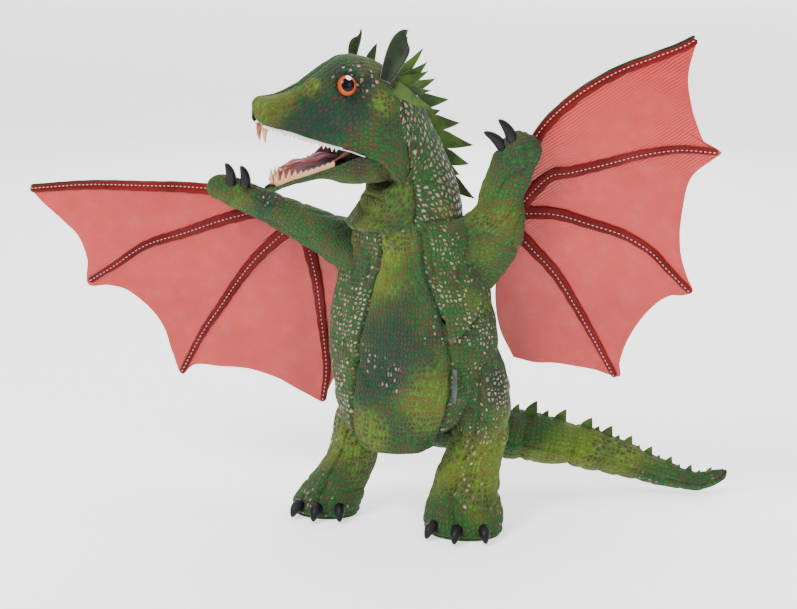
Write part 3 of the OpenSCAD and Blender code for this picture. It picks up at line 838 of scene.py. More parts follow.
def skull_surface(along, around):
    """Rings with a flat floor at the lip line and a rounded top, then brows, cheeks, muzzle ridges and
    eye sockets."""
    r = smooth_rows(SKULL_ROWS, along)
    th = np.linspace(0, TAU, around, endpoint=False) - math.pi / 2
    c, s = np.cos(th), np.sin(th)
    w = r[:, 3:4] * (np.sign(c) * np.abs(c) ** 0.8)[None]
    top = (r[:, 2] - r[:, 1])[:, None]
    up = np.where(s > 0, np.abs(s) ** 0.85, 0)[None] * top
    floor = np.where(s < 0, np.abs(s) ** 0.6, 0)[None]
    roof_in = 7 * floor * step(40, 60, r[:, :1])
    h = r[:, 1:2] + up + roof_in - 3.0 * floor * (1 - step(40, 60, r[:, :1]))
    p = np.stack([r[:, :1] + 0 * w, w, h], -1)
    nrm = grid_normals(p)
    side = np.abs(p)
    side[..., 0], side[..., 2] = p[..., 0], p[..., 2]
    lift = 7.5 * lump(side, (60, 31, 54), (18, 10, 6.5))
    lift += 3.2 * lump(side, (38, 33, 52), (14, 10, 9))
    lift -= 5.5 * lump(side, (66, 33, 41), (10, 11, 9))
    lift += 3.5 * lump(side, (44, 37, 8), (26, 14, 20))
    lift += 2.8 * lump(side, (26, 36, 30), (10, 10, 12))
    ridge = 19 + (146 - p[..., 0]) * 0.34
    on_muzzle = step(78, 92, p[..., 0]) * step(156, 146, p[..., 0])
    lift += on_muzzle * (2.4 * bell(h - ridge - 4, 5) - 3.4 * bell(h - ridge + 6, 4.2)) * (np.abs(w) > 4)
    lift -= 2.0 * bell(np.abs(w), 5) * bell(p[..., 0] - 105, 24) * (s > 0)
    lift += 3.5 * lump(side, (148, 9, 22), (9, 9, 9))
    lift -= 3.2 * lump(side, (152, 10, 17), (4, 4, 3))
    lift -= 1.6 * bell(w, 1.8) * (s > 0.2) * step(60, 75, p[..., 0])
    lift += 0.6 * ripple(p, 34, 31) + 0.7 * folds(p, 52, 33)
    lift += 1.2 * folds(p * [1, 1, 1.6], 26, 35) * lump(side, (50, 38, 30), (22, 14, 16))
    return p + nrm * (lift * (s > -0.2))[..., None]


class PUPPET_OT_head(bpy.types.Operator):
    """The stuffed upper head with its brows, cheeks and nose, and the white roof of the mouth"""

    bl_idname = "puppet.head"
    bl_label = "Upper head"

    def execute(self, context):
        _, col = settings()
        p = skull_surface(240, 220)
        # the back rolls in to a rim, so that the hollow for the fingers stays open
        rim = p[:1]
        mid = rim.mean(1, keepdims=True)
        hollow = [mid + (rim - mid) * share + np.array([x, 0, 0]) for share, x in HOLLOW_RINGS]
        p = np.concatenate(hollow + [p], 0)
        ob = tidy_mesh(grid_object("upper_head", head_pt(p), grid_uv(p, by_length=True)))
        spots = [
            (head_pt((78, 34, 14)), 30, "teal"), (head_pt((108, 24, 10)), 24, "teal"),
            (head_pt((50, 38, 22)), 18, "teal"),
            (head_pt((152, 4, 20)), 22, "yellow_green"), (head_pt((128, 12, 31)), 16, "yellow_green"),
            (head_pt((100, 20, 42)), 13, "yellow_green"), (head_pt((46, 36, 54)), 13, "yellow_green"),
            (head_pt((25, 42, 22)), 15, "yellow_green"),
        ]
        dress(ob, scale_plush("head_scales", 5.6, 6.4, 0.2, 0.4, 0.45, 0.75, 8, patches=spots))
        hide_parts("skull")
        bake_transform(ob)
        self.roof(col)
        return {"FINISHED"}

    def roof(self, col):
        """The lining: a vault under the lips, height a cosine across, with satin puckers."""
        r = smooth_rows(SKULL_ROWS, 200)
        r = r[(r[:, 0] > 44) & (r[:, 0] < 152)]
        t = np.linspace(-1, 1, 70)[None]
        half = r[:, 3:4] * 0.93 - 1.5
        lip = r[:, 1:2]
        h = lip - 1.6 + 5.0 * np.cos(t * math.pi / 2) + 0.35 * np.sin(r[:, :1] / 2.1 + 4 * t) * (1 - t**2)
        low = np.stack([r[:, :1] + 0 * t, half * t, h], -1)
        ob = sector_object("mouth_roof", head_pt(low[:, ::-1]), 1.4)
        dress(ob, woven("white_satin", col.satin, (0.82, 0.8, 0.78), 0.5, 0.35, 0.4))
        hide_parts("palate_lining")
        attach(ob, "head")


# ---- lower jaw ----

# [out, lip, bottom, half width] from under the cheek to the chin
JAW_ROWS = [
    [6, -36, -68, 30],
    [16, -34, -69, 33],
    [30, -32, -69, 34],
    [46, -34, -68.5, 34],
    [60, -37, -67, 33],
    [74, -42, -62, 31],
    [90, -47, -60, 28],
    [106, -52, -62, 24],
    [122, -57, -66, 18],
    [133, -62, -69.5, 12],
    [140, -64.5, -70, 8],
    [144, -65, -69, 3.5],
]


class PUPPET_OT_jaw(bpy.types.Operator):
    """The lower jaw, the cloth inside it and the tongue"""

    bl_idname = "puppet.jaw"
    bl_label = "Lower jaw"

    def execute(self, context):
        _, col = settings()
        r = smooth_rows(JAW_ROWS, 200)
        th = np.linspace(0, TAU, 180, endpoint=False) + math.pi / 2
        c, s = np.cos(th), np.sin(th)
        w = r[:, 3:4] * (np.sign(c) * np.abs(c) ** 0.8)[None]
        deep = (r[:, 1] - r[:, 2])[:, None]
        h = r[:, 1:2] - np.where(s < 0, np.abs(s) ** 0.85, 0)[None] * deep
        h = h - np.where(s > 0, np.abs(s) ** 0.7, 0)[None] * 4 * step(40, 60, r[:, :1])
        p = np.stack([r[:, :1] + 0 * w, w, h], -1)
        lift = 0.6 * ripple(p, 30, 41) + 0.8 * folds(p, 46, 42)
        lift -= 1.6 * bell(w, 1.8) * (s < 0)
        p = p + grid_normals(p) * lift[..., None]
        ob = tidy_mesh(grid_object("lower_jaw", head_pt(p), grid_uv(p, by_length=True)))
        dress(ob, scale_plush("jaw_scales", 4.6, 4.0, 0.1, 0.35, 0.6, 0.7, 9))
        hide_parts("jaw")
        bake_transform(ob)
        self.lining(col)
        self.tongue(col)
        return {"FINISHED"}

    def lining(self, col):
        """Cloth across the jaw between the lips, dished by a cosine, rising to the mouth corners at the
        back."""
        r = smooth_rows(JAW_ROWS, 200)
        r = r[(r[:, 0] > 40) & (r[:, 0] < 136)]
        t = np.linspace(-1, 1, 60)[None]
        half = r[:, 3:4] * 0.92
        back = step(90, 50, r[:, :1])
        h = r[:, 1:2] + 1.2 - 1.6 * np.cos(t * math.pi / 2) + 14 * back * np.abs(t) ** 3 - 0.5 * back
        h = h + 0.4 * ripple(np.stack([r[:, :1] + 0 * t, half * t, 0 * h], -1), 16, 44)
        top = np.stack([r[:, :1] + 0 * t, half * t, h], -1)
        ob = sector_object("mouth_floor", head_pt(top), 1.3)
        dress(ob, woven("mouth_cloth", col.mouth, col.tongue, 0.7, 0.7))
        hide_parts("jaw_lining")
        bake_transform(ob)

    def tongue(self, col):
        """A flat rounded strip swept from the throat to its tip, with a groove down the middle and waved
        sides."""
        rows = [
            [55, 0, -36.8, 11, 1.9], [65, 0, -36.2, 12.5, 2.1], [80, 0, -37, 13, 2.2],
            [96, 0, -39, 11.5, 2.1], [112, 0, -41.5, 9, 1.8], [122, 0, -43.5, 5, 1.4],
            [128, 0, -44.5, 1.2, 0.6],
        ]
        p, r, th = tube_grid(rows, (0, 0, 1), 110, 60)
        across = np.cos(th)[None]
        upper = (np.sin(th) > 0)[None]
        p[..., 2] -= 1.6 * bell(across, 0.16) * upper
        p[..., 2] += 1.6 * np.abs(across) ** 2 * np.sin(r[:, :1] / 5.5) + 0.8 * ripple(p, 18, 45)
        ob = tidy_mesh(grid_object("tongue_strip", head_pt(p)))
        dress(ob, woven("tongue_cloth", col.tongue, (0.3, 0.03, 0.06), 0.6, 0.55, 0.3))
        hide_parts("tongue")
        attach(ob, "jaw")


# ---- teeth, fangs and eyes ----


def tooth(base, tip, wide, thick, along):
    """A small pointed cloth tooth: width falling in a straight line from base to tip, thickness falling
    to an edge."""
    base, tip = np.asarray(base, float), np.asarray(tip, float)
    d = tip - base
    side = unit(np.asarray(along, float))
    nrm = unit(np.cross(side, d))
    v = np.linspace(0, 1, 9)[:, None]
    th = np.linspace(0, TAU, 16, endpoint=False)[None]
    half = wide / 2 * np.clip(1 - v**1.3, 0.04, 1)
    p = base + d * v[..., None] + side * (half * np.cos(th))[..., None]
    p = p + nrm * (thick / 2 * np.clip(1 - v**2, 0.15, 1) * np.sin(th))[..., None]
    return tidy_mesh(grid_object("tooth", head_pt(p)))


def lip_rows(rows, count, first, last):
    """Lip height and half width by distance out, read from the rows at even steps."""
    r = smooth_rows(rows, 400)
    s = np.linspace(first, last, count)
    return s, np.interp(s, r[:, 0], r[:, 1]), np.interp(s, r[:, 0], r[:, -1])


def strip(name, s, w, top, low, thick):
    """A band of cloth standing on a curve: two walls a small distance apart, rounded over along both
    edges."""
    mid = np.stack([s, w, 0 * s], -1)
    nrm = unit(np.stack([-np.gradient(w), np.gradient(s), 0 * s], -1))
    th = np.linspace(0, TAU, 20, endpoint=False)[None]
    rise = np.sign(np.cos(th)) * np.abs(np.cos(th)) ** 0.3
    h = ((top + low) / 2)[:, None] + ((top - low) / 2)[:, None] * rise
    p = mid[:, None] + nrm[:, None] * (thick / 2 * np.sin(th))[..., None]
    p[..., 2] = h
    return tidy_mesh(grid_object(name, head_pt(p)))


class PUPPET_OT_teeth(bpy.types.Operator):
    """The satin strip with small points under the upper lip, the two fangs and the lower teeth"""

    bl_idname = "puppet.teeth"
    bl_label = "Teeth"

    def execute(self, context):
        _, col = settings()
        satin = woven("tooth_satin", col.satin, (0.8, 0.78, 0.74), 0.5, 0.35, 0.4)
        parts = []
        for side in (-1, 1):
            s, lip, half = lip_rows(SKULL_ROWS, 120, 70, 150)
            w = side * (half - 2.5)
            parts.append(strip("band", s, w, lip + 1.5, lip - 3.0, 1.8))
            count = 17
            s, lip, half = lip_rows(SKULL_ROWS, count, 76, 145)
            for i in range(count):
                drop = 4.6 + 1.4 * math.sin(i * 2.3)
                base = [s[i], side * (half[i] - 2.5), lip[i] - 1.5]
                tip = [s[i] + 0.6, side * (half[i] - 3.6), lip[i] - 1.5 - drop]
                parts.append(tooth(base, tip, 4.4, 1.8, (1, 0, 0)))
        upper = merged("upper_tooth_strip", parts)
        dress(upper, satin)
        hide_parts("upper_teeth")
        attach(upper, "head")
        parts = []
        for side in (-1, 1):
            rows = [
                [147, side * 8.4, 4, 3.4, 3.0], [147, side * 8.4, 0, 3.4, 3.0],
                [147.4, side * 8.4, -5, 2.9, 2.6],
                [147.6, side * 8.2, -10, 2.2, 2.0], [147.2, side * 8.0, -14, 1.3, 1.2],
                [146.6, side * 7.8, -17.2, 0.35, 0.35],
            ]
            p, _, _ = tube_grid(rows, (0, 1, 0), 40, 28)
            parts.append(tidy_mesh(grid_object("fang", head_pt(p))))
        fang = merged("front_fangs", parts)
        dress(fang, felt("fang_felt", col.tooth, col.gusset, 3))
        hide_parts("fangs")
        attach(fang, "head")
        parts = []
        for side in (-1, 1):
            s, lip, half = lip_rows(JAW_ROWS, 90, 78, 136)
            w = side * (half - 2.0)
            parts.append(strip("band", s, w, lip + 4.5, lip - 1.5, 1.8))
            count = 11
            s, lip, half = lip_rows(JAW_ROWS, count, 80, 135)
            for i in range(count):
                high = 3.2 + 9.0 * step(104, 136, s[i])
                base = [s[i], side * (half[i] - 2.0), lip[i] + 3.2]
                tip = [s[i] - 0.8, side * (half[i] - 1.4), lip[i] + 3.2 + high]
                parts.append(tooth(base, tip, 5.4, 2.2, (1, 0, 0)))
        for k in range(3):
            w = (k - 1) * 6.0
            out = 137 - abs(w) * 0.3
            parts.append(tooth([out, w, -62], [out + 1.5, w, -46], 7.0, 2.4, (0, 1, 0)))
        lower = merged("lower_tooth_strip", parts)
        # painted shade and reflected light: the lower teeth are white felt, coloured here in peach and darker
        # orange for the shade in the mouth and the red light thrown on them by the tongue
        dress(lower, felt("tooth_felt", col.tooth, (0.62, 0.4, 0.24), 4))
        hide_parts("lower_teeth")
        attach(lower, "jaw")
        return {"FINISHED"}


def eye_shader(col):
    """Rings by distance from the middle of the map: black pupil, orange iris with rays, dark rim, white
    glint."""
    s = Shader("eye_plastic", Specular_IOR_Level=0.16)
    flat = s.coords("UV")
    d = s.distance(flat, (0, 0, 0))
    rays = s.noise(s.coords("UV", scale=(9, 9, 1)), 1.0, 4, 0.7)
    iris = s.mix(s.ramp(rays, 0.3, 0.7), rgba(col.eye), (0.45, 0.1, 0.01, 1))
    iris = s.shaded(s.ramp(d, 0.45, 0.62), iris, (0.55, 0.4, 0.4))
    tone = s.mix(s.ramp(d, 0.47, 0.49), (0.003, 0.003, 0.004, 1), iris)
    tone = s.mix(s.ramp(d, 0.84, 0.9), tone, (0.012, 0.01, 0.008, 1))
    glint = s.distance(flat, (0.1, 0.5, 0))
    tone = s.mix(s.ramp(glint, 0.2, 0.24), (1, 1, 1, 1), tone)
    return s.finish(tone, s.ramp(rays, 0.3, 0.7, 0.04, 0.1), s.bump(rays, 0.0001, 0.2))


class PUPPET_OT_eyes(bpy.types.Operator):
    """Two domed plastic eyes"""

    bl_idname = "puppet.eyes"
    bl_label = "Eyes"

    def execute(self, context):
        _, col = settings()
        mat = eye_shader(col)
        for side, node in ((-1, "eye_right"), (1, "eye_left")):
            # the middle of the eye, its outward direction and the two directions across it
            mid = np.array([65.0, side * 31.5, 40.5])
            out = unit(np.array([0.18, side * 0.93, 0.28]))
            right = unit(np.cross(UP, out))
            up = np.cross(out, right)
            a = np.linspace(0.02, 1.0, 44)[:, None] * math.radians(118)
            th = np.linspace(0, TAU, 64, endpoint=False)[None]
            r = 10.2
            x, y = r * np.sin(a) * np.cos(th), r * np.sin(a) * np.sin(th) * 1.08
            z = 0.82 * r * np.cos(a) + 0 * th
            p = mid + right * x[..., None] + up * y[..., None] + out * z[..., None]
            k = a / math.radians(90)
            full = np.concatenate([th, th[:, :1] + TAU], 1)
            uv = np.stack([k * np.cos(full), k * np.sin(full)], -1)
            ob = tidy_mesh(grid_object("eye_dome_" + ("left" if side > 0 else "right"), head_pt(p), uv))
            dress(ob, mat)
            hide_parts(node)
            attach(ob, "head")
        return {"FINISHED"}


# ---- ears and frill ----


def cupped_ear(base, tip, width, out, curl, seed):
    """A cupped leaf: half width rising and falling along the blade, rims raised by the square of the
    distance across."""
    base, tip = np.asarray(base, float), np.asarray(tip, float)
    d = tip - base
    length = np.linalg.norm(d)
    d /= length
    nrm = unit(np.asarray(out, float) - d * np.dot(out, d))
    side = np.cross(nrm, d)
    v = np.linspace(0, 1, 60)[:, None]
    t = np.linspace(-1, 1, 40)[None]
    half = width / 2 * (0.5 + 1.1 * v - 0.45 * v**2) * np.sqrt(np.clip(1 - v**6, 0.0009, 1))
    cup = curl * half * np.abs(t) ** 1.8
    lean = 0.1 * length * v**2
    slant = 1 + 0.12 * t * v**2
    rise = cup - lean + 0.5 * np.sin(v * 7 + seed)
    p = base + d * (length * v * slant)[..., None] + side * (half * t)[..., None] + nrm * rise[..., None]
    return p, nrm


class PUPPET_OT_ears(bpy.types.Operator):
    """Two cupped ears with a dark inside, and the felt leaves of the frill behind them"""

    bl_idname = "puppet.ears"
    bl_label = "Ears and frill"

    def execute(self, context):
        _, col = settings()
        outside = scale_plush("ear_scales", 4.0, 5.0, 0.1, 0.5, 0.5, 0.4, 12)
        inside = felt("ear_inside", (0.014, 0.03, 0.008), (0.004, 0.01, 0.003), 5)
        for side, node in ((-1, "ear_right"), (1, "ear_left")):
            if side > 0:
                base, tip, out, wide = (20, 30, 42), (-1, 35, 90), (0.55, 0.8, 0.2), 24
            else:
                base, tip, out, wide = (31, -25, 52), (24, -31, 88), (0.45, -0.85, 0.1), 19
            p, nrm = cupped_ear(base, tip, wide, out, 0.55, side)
            front = sector_object("ear_cup_" + node[4:], head_pt(p), 2.6)
            dress(front, outside)
            front.data.materials.append(inside)
            n = head_pt(nrm) - head_pt([0, 0, 0])
            inner = np.array([np.dot(poly.normal, n) > 0.25 for poly in front.data.polygons])
            front.data.polygons.foreach_set("material_index", inner.astype(np.int32))
            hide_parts(node)
            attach(front, "head")
        leaves = []
        # [base out, base up, tip out, tip up, width]
        rows = [
            [4, 42, -29, 75, 13], [0, 38, -30, 60, 15], [2, 40, -31, 51, 12], [8, 34, -33, 30, 14],
            [10, 36, -30, 12, 15], [14, 54, 4, 76, 13],
        ]
        for side in (-1, 1):
            for i, (bo, bu, to, tu, w) in enumerate(rows):
                spread = side * (16 + 5 * (i % 3) + (11 if i in (3, 4) else 0))
                base, tip = (bo, spread, bu), (to, spread + side * 4, tu)
                leaves.append(leaf("leaf", base, tip, w, (0.2, side, 0.15), 2.0, i + 3 * side))
        frill = merged("head_frill_leaves", leaves)
        dress(frill, felt("frill_felt", col.felt, col.felt_dark, 2))
        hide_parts("head_frill")
        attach(frill, "head")
        return {"FINISHED"}


# ---- arms ----


def claw_mesh(base, tip, radius, bend, space):
    """A horn: circles of radius falling as a square root from base to tip along a curve bowed by bend."""
    base, tip, bend = (np.asarray(v, float) for v in (base, tip, bend))
    v = np.linspace(0, 1, 26)
    c = base + (tip - base) * v[:, None] + bend * (v * (1 - v) * 4)[:, None]
    r = radius * np.sqrt(np.clip(1 - v**1.6, 0.002, 1)) * (1 - 0.12 * np.exp(-((v / 0.1) ** 2)))
    rows = np.column_stack([c, r, r * 0.9])
    p, _, _ = tube_grid(rows, (0.3, 0.9, 0.1), 60, 26)
    return tidy_mesh(grid_object("claw", space(p)))


# [across, back, up, half width, half depth] of each ring, from the shoulder to the hand
ARM_RIGHT = [
    [-44, 2, 292, 30, 36], [-62, 4, 299, 30, 36], [-80, 7, 307, 27, 33], [-96, 9, 314, 24, 29],
    [-120, 11, 323, 20.5, 25], [-150, 13, 334.5, 17.5, 20.5], [-172, 15, 343.5, 15.5, 17],
    [-188, 16, 349.5, 15, 13.5], [-205, 16, 355, 16.5, 13.5], [-222, 15, 359.5, 15.5, 11.5],
    [-234, 13, 361.5, 12, 9], [-240, 12, 362.3, 6, 5], [-241.5, 11.8, 362.5, 1, 1],
]
ARM_LEFT = [
    [40, -3, 266, 38, 34], [50, -2, 282, 38, 34], [62, -1, 299, 39, 31], [78, -2, 318, 38, 27],
    [92, -4, 338, 33, 23], [98, -6, 356, 27, 20], [100.5, -8, 372, 25, 17.5],
    [104, -10, 386, 24.5, 15.5], [111, -13, 403, 23.5, 14.8], [121.5, -16.3, 424, 21.5, 13],
    [126, -18, 435, 15, 9.5], [128.6, -18.5, 440, 7, 5], [129.2, -18.6, 441.4, 1, 1],
]


def arm_grid(rows, along, around, seed):
    """Ellipses swept along a path, then pushed along the normals by stuffing ripples and creases and in
    at the seam."""
    p, r, th = tube_grid(rows, (0, 1, 0), along, around)
    lift = 1.0 * ripple(p, 46, seed) + 2.4 * folds(p, 44, seed + 1) + 0.4 * ripple(p, 15, seed + 2)
    off = np.abs((th - math.radians(90) + math.pi) % TAU - math.pi)[None] * r[:, 3:4]
    lift = lift - 2.0 * bell(off, 1.8)
    return p + grid_normals(p) * lift[..., None]


class PUPPET_OT_arms(bpy.types.Operator):
    """Both arms, each with its flat padded hand, and the vinyl claws on the hands"""

    bl_idname = "puppet.arms"
    bl_label = "Arms"

    def execute(self, context):
        _, col = settings()
        claws = claw_shader(col)
        skin = scale_plush("arm_scales", 4.2, 5.6, 0.15, 0.45, 0.5, 0.6, 14)
        for side, rows, lo, hi in (
            ("right", ARM_RIGHT, (-70, 8, 309), (-100, 9, 320)),
            ("left", ARM_LEFT, (78, 2, 290), (98, 0, 334)),
        ):
            p = arm_grid(rows, 260, 150, 50 + len(side))
            ob = tidy_mesh(grid_object("arm_and_hand_" + side, body_pt(p)))
            tip = body_pt(rows[-1][:3])
            stuffed(ob, lambda q: step(45, 20, np.linalg.norm(q - tip, axis=1)))
            dress(ob, skin)
            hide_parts("arm_" + side, "hand_" + side)
            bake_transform(ob)
        sets = {
            "right": [((-211, 8, 367), (-215, 2, 391)), ((-194, 7, 365), (-197, 1, 389))],
            "left": [((101, -18, 424), (82, -25, 441)), ((112, -21, 432), (98, -27, 455))],
        }
        for side, pairs in sets.items():
            parts = [claw_mesh(b, t, 6.6, (2.5, 0, 1.5), body_pt) for b, t in pairs]
            ob = merged("hand_claw_pair_" + side, parts)
            dress(ob, claws)
            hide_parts("hand_claws_" + side)
            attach(ob, "arm_" + side[0])
        return {"FINISHED"}


def claw_shader(col):
    """Black vinyl with fine scratches and a slightly lighter grain."""
    s = Shader("claw_vinyl", Specular_IOR_Level=0.25)
    place = s.coords("Object")
    grain = s.noise(place, 900, 3, 0.6)
    patch = s.noise(place, 60, 2, 0.5)
    tone = s.mix(s.ramp(patch, 0.4, 0.7), rgba(col.claw), (0.007, 0.008, 0.01, 1))
    s.finish(tone, s.ramp(grain, 0.3, 0.7, 0.4, 0.6), s.bump(grain, 0.0002, 0.4))
    return s.mat


# ---- wings ----

# each wing is drawn flat, in millimetres across and up from its own anchor point
WINGS = {
    "right": dict(
        anchor=(-92, 47, 318), tilt=(91.7, 3.5), body="wing_r",
        lead=[(-148, 36), (-190, 37.5), (-225, 37), (-297, 36), (-370, 29)],
        edge=[(-370, 29), (-355, 14), (-333, -4), (-314, -23), (-305, -51), (-306, -82), (-281, -82),
              (-256, -87), (-231, -106), (-214, -128), (-207, -156), (-197, -186), (-180, -174),
              (-147, -173), (-112, -174), (-79, -184), (-52, -199), (-28, -212)],
        inner=[(-112, 14), (-72, 0), (-34, -8), (0, -24), (5, -64), (2, -110), (-6, -160), (-28, -212)],
        ribs=[[(-96, 14), (-141, 1), (-187, -16), (-233, -32), (-272, -58), (-304, -78)],
              [(-66, -8), (-100, -40), (-123, -68), (-145, -100), (-168, -133), (-196, -184)],
              [(-42, -20), (-32, -64), (-27, -109), (-23, -147), (-22, -174), (-27, -210)]],
    ),
    "left": dict(
        anchor=(92, 30, 312), tilt=(100.8, -3), body="wing_l",
        lead=[(22, 60), (31, 90), (41, 118), (57, 141), (82, 165), (106, 183), (135, 200), (168, 214),
              (196, 226), (212, 235)],
        edge=[(212, 235), (204, 202), (206, 174), (212, 148), (222, 123), (238, 116), (228, 106),
              (212, 93), (204, 79), (199, 51), (196, 24), (197, -2), (204, -28), (210, -44), (198, -50),
              (185, -51), (168, -63), (151, -85), (138, -110), (130, -136), (129, -154), (102, -147),
              (84, -144), (60, -141), (34, -142), (10, -138)],
        inner=[(5, 10), (-5, -30), (-8, -70), (-4, -105), (10, -138)],
        ribs=[[(24, 46), (55, 79), (80, 86), (120, 98), (154, 109), (195, 117), (235, 116)],
              [(24, 36), (62, 37), (99, 28), (134, 18), (164, 1), (183, -19), (208, -45)],
              [(14, 18), (35, -5), (60, -33), (82, -70), (103, -110), (125, -154)]],
    ),
}


def wing_space(w, pq, front=0.0):
    """Flat wing points plus a distance toward the front, turned by the wing's tilt about its anchor."""
    x, z = (math.radians(v) for v in w["tilt"])
    e1 = np.array([math.cos(z), math.sin(z), 0])
    e2 = np.array([-math.sin(z) * math.cos(x), math.cos(z) * math.cos(x), math.sin(x)])
    e3 = np.cross(e1, e2)
    pq = np.asarray(pq, float)
    flat = pq[..., :1] * e1 + pq[..., 1:2] * e2
    return body_pt(np.array(w["anchor"], float)) + flat + np.asarray(front)[..., None] * e3


def billow(w, pq):
    """How far the stretched mesh stands forward: a gentle swell falling to nothing at the rods, plus
    fine slack."""
    near = np.full(pq.shape[:-1], 1e9)
    for line in [w["lead"]] + w["ribs"]:
        c = smooth_rows(line, 60)
        d = np.sqrt(((pq[..., None, :] - c) ** 2).sum(-1)).min(-1)
        near = np.minimum(near, d)
    pts = np.stack([pq[..., 0], pq[..., 1], 0 * pq[..., 0]], -1)
    slack = ripple(pts, 60, 71) * 1.3 + ripple(pts, 24, 72) * 0.45
    return (4.5 * step(0, 46, near) + slack * step(0, 14, near)) - 1.0


def even(points, count):
    """The smooth curve through the points, read at even distances."""
    c = smooth_rows(points, 900)[:, :2]
    d = np.concatenate([[0], np.linalg.norm(np.diff(c, axis=0), axis=1).cumsum()])
    return np.stack([np.interp(np.linspace(0, d[-1], count), d, c[:, k]) for k in (0, 1)], -1)


def rod(name, w, line, wide, deep, out, seed=0):
    """A flat tube of mesh along a flat curve: half width a straight-line taper, rounded across, closed
    at both ends."""
    c = even(line, 170)
    t = np.linspace(0, 1, len(c))
    tan = unit(np.gradient(c, axis=0))
    nrm = np.stack([-tan[:, 1], tan[:, 0]], -1)
    half = (wide[0] + (wide[1] - wide[0]) * t) / 2
    half = half * np.sqrt(np.clip(1 - np.clip((t - 0.985) / 0.015, 0, 1) ** 2, 0.01, 1))
    half = half * (1 + 0.05 * np.sin(t * 61 + seed))
    th = np.linspace(0, TAU, 28, endpoint=False)[None]
    off = half[:, None] * np.cos(th)
    flat = c[:, None] + nrm[:, None] * off[..., None]
    rise = out + deep * np.sin(th) * np.clip(half / half.max(), 0.3, 1)[:, None]
    rise = rise - 0.45 * deep * bell(off, 0.9) * (np.sin(th) > 0)
    return tidy_mesh(grid_object(name, wing_space(w, flat, rise)))


def stitches(w, line, out, length=2.6, gap=2.2, width=0.55, offset=0.0):
    """Short thread capsules at even steps along a flat curve."""
    c = smooth_rows(line, 900)[:, :2]
    total = np.linalg.norm(np.diff(c, axis=0), axis=1).sum()
    count = max(4, int(total / (length + gap)))
    c = even(line, count * 4 + 1)
    tan = unit(np.gradient(c, axis=0))
    nrm = np.stack([-tan[:, 1], tan[:, 0]], -1)
    a = c[0:-3:4] + nrm[0:-3:4] * offset
    b = a + tan[0:-3:4] * length
    v = np.array([0.0, 0.12, 0.5, 0.88, 1.0])
    rad = width * np.array([0.15, 0.8, 1.0, 0.8, 0.15])
    th = np.linspace(0, TAU, 8, endpoint=False)
    mid = a[:, None] + (b - a)[:, None] * v[:, None]
    flat = mid[:, :, None] + nrm[0:-3:4][:, None, None] * (rad[:, None] * np.cos(th))[None, ..., None]
    rise = out + 0.5 * np.sin(math.pi * v)[:, None] + rad[:, None] * np.sin(th) + 0 * flat[..., 0]
    p = wing_space(w, flat, rise).reshape(-1, 3)
    n = len(a)
    i, k, j = np.meshgrid(np.arange(n), np.arange(4), np.arange(8), indexing="ij")

    def at(ring, spoke):
        return (i * 5 + ring) * 8 + spoke % 8

    quads = np.stack([at(k, j), at(k, j + 1), at(k + 1, j + 1), at(k + 1, j)], -1).reshape(-1, 4)
    ends = np.arange(n)[:, None] * 40
    fan = np.array([[0, j + 1, j] for j in range(1, 7)])
    first_caps = (ends[:, :, None] + fan[None]).reshape(-1, 3)
    last_caps = (ends[:, :, None] + 32 + fan[None][:, :, ::-1]).reshape(-1, 3)
    tris = np.concatenate([first_caps, last_caps])
    uv = np.zeros((len(quads) * 4 + len(tris) * 3, 2))
    return mesh_object("stitches", p, quads, tris, uv)


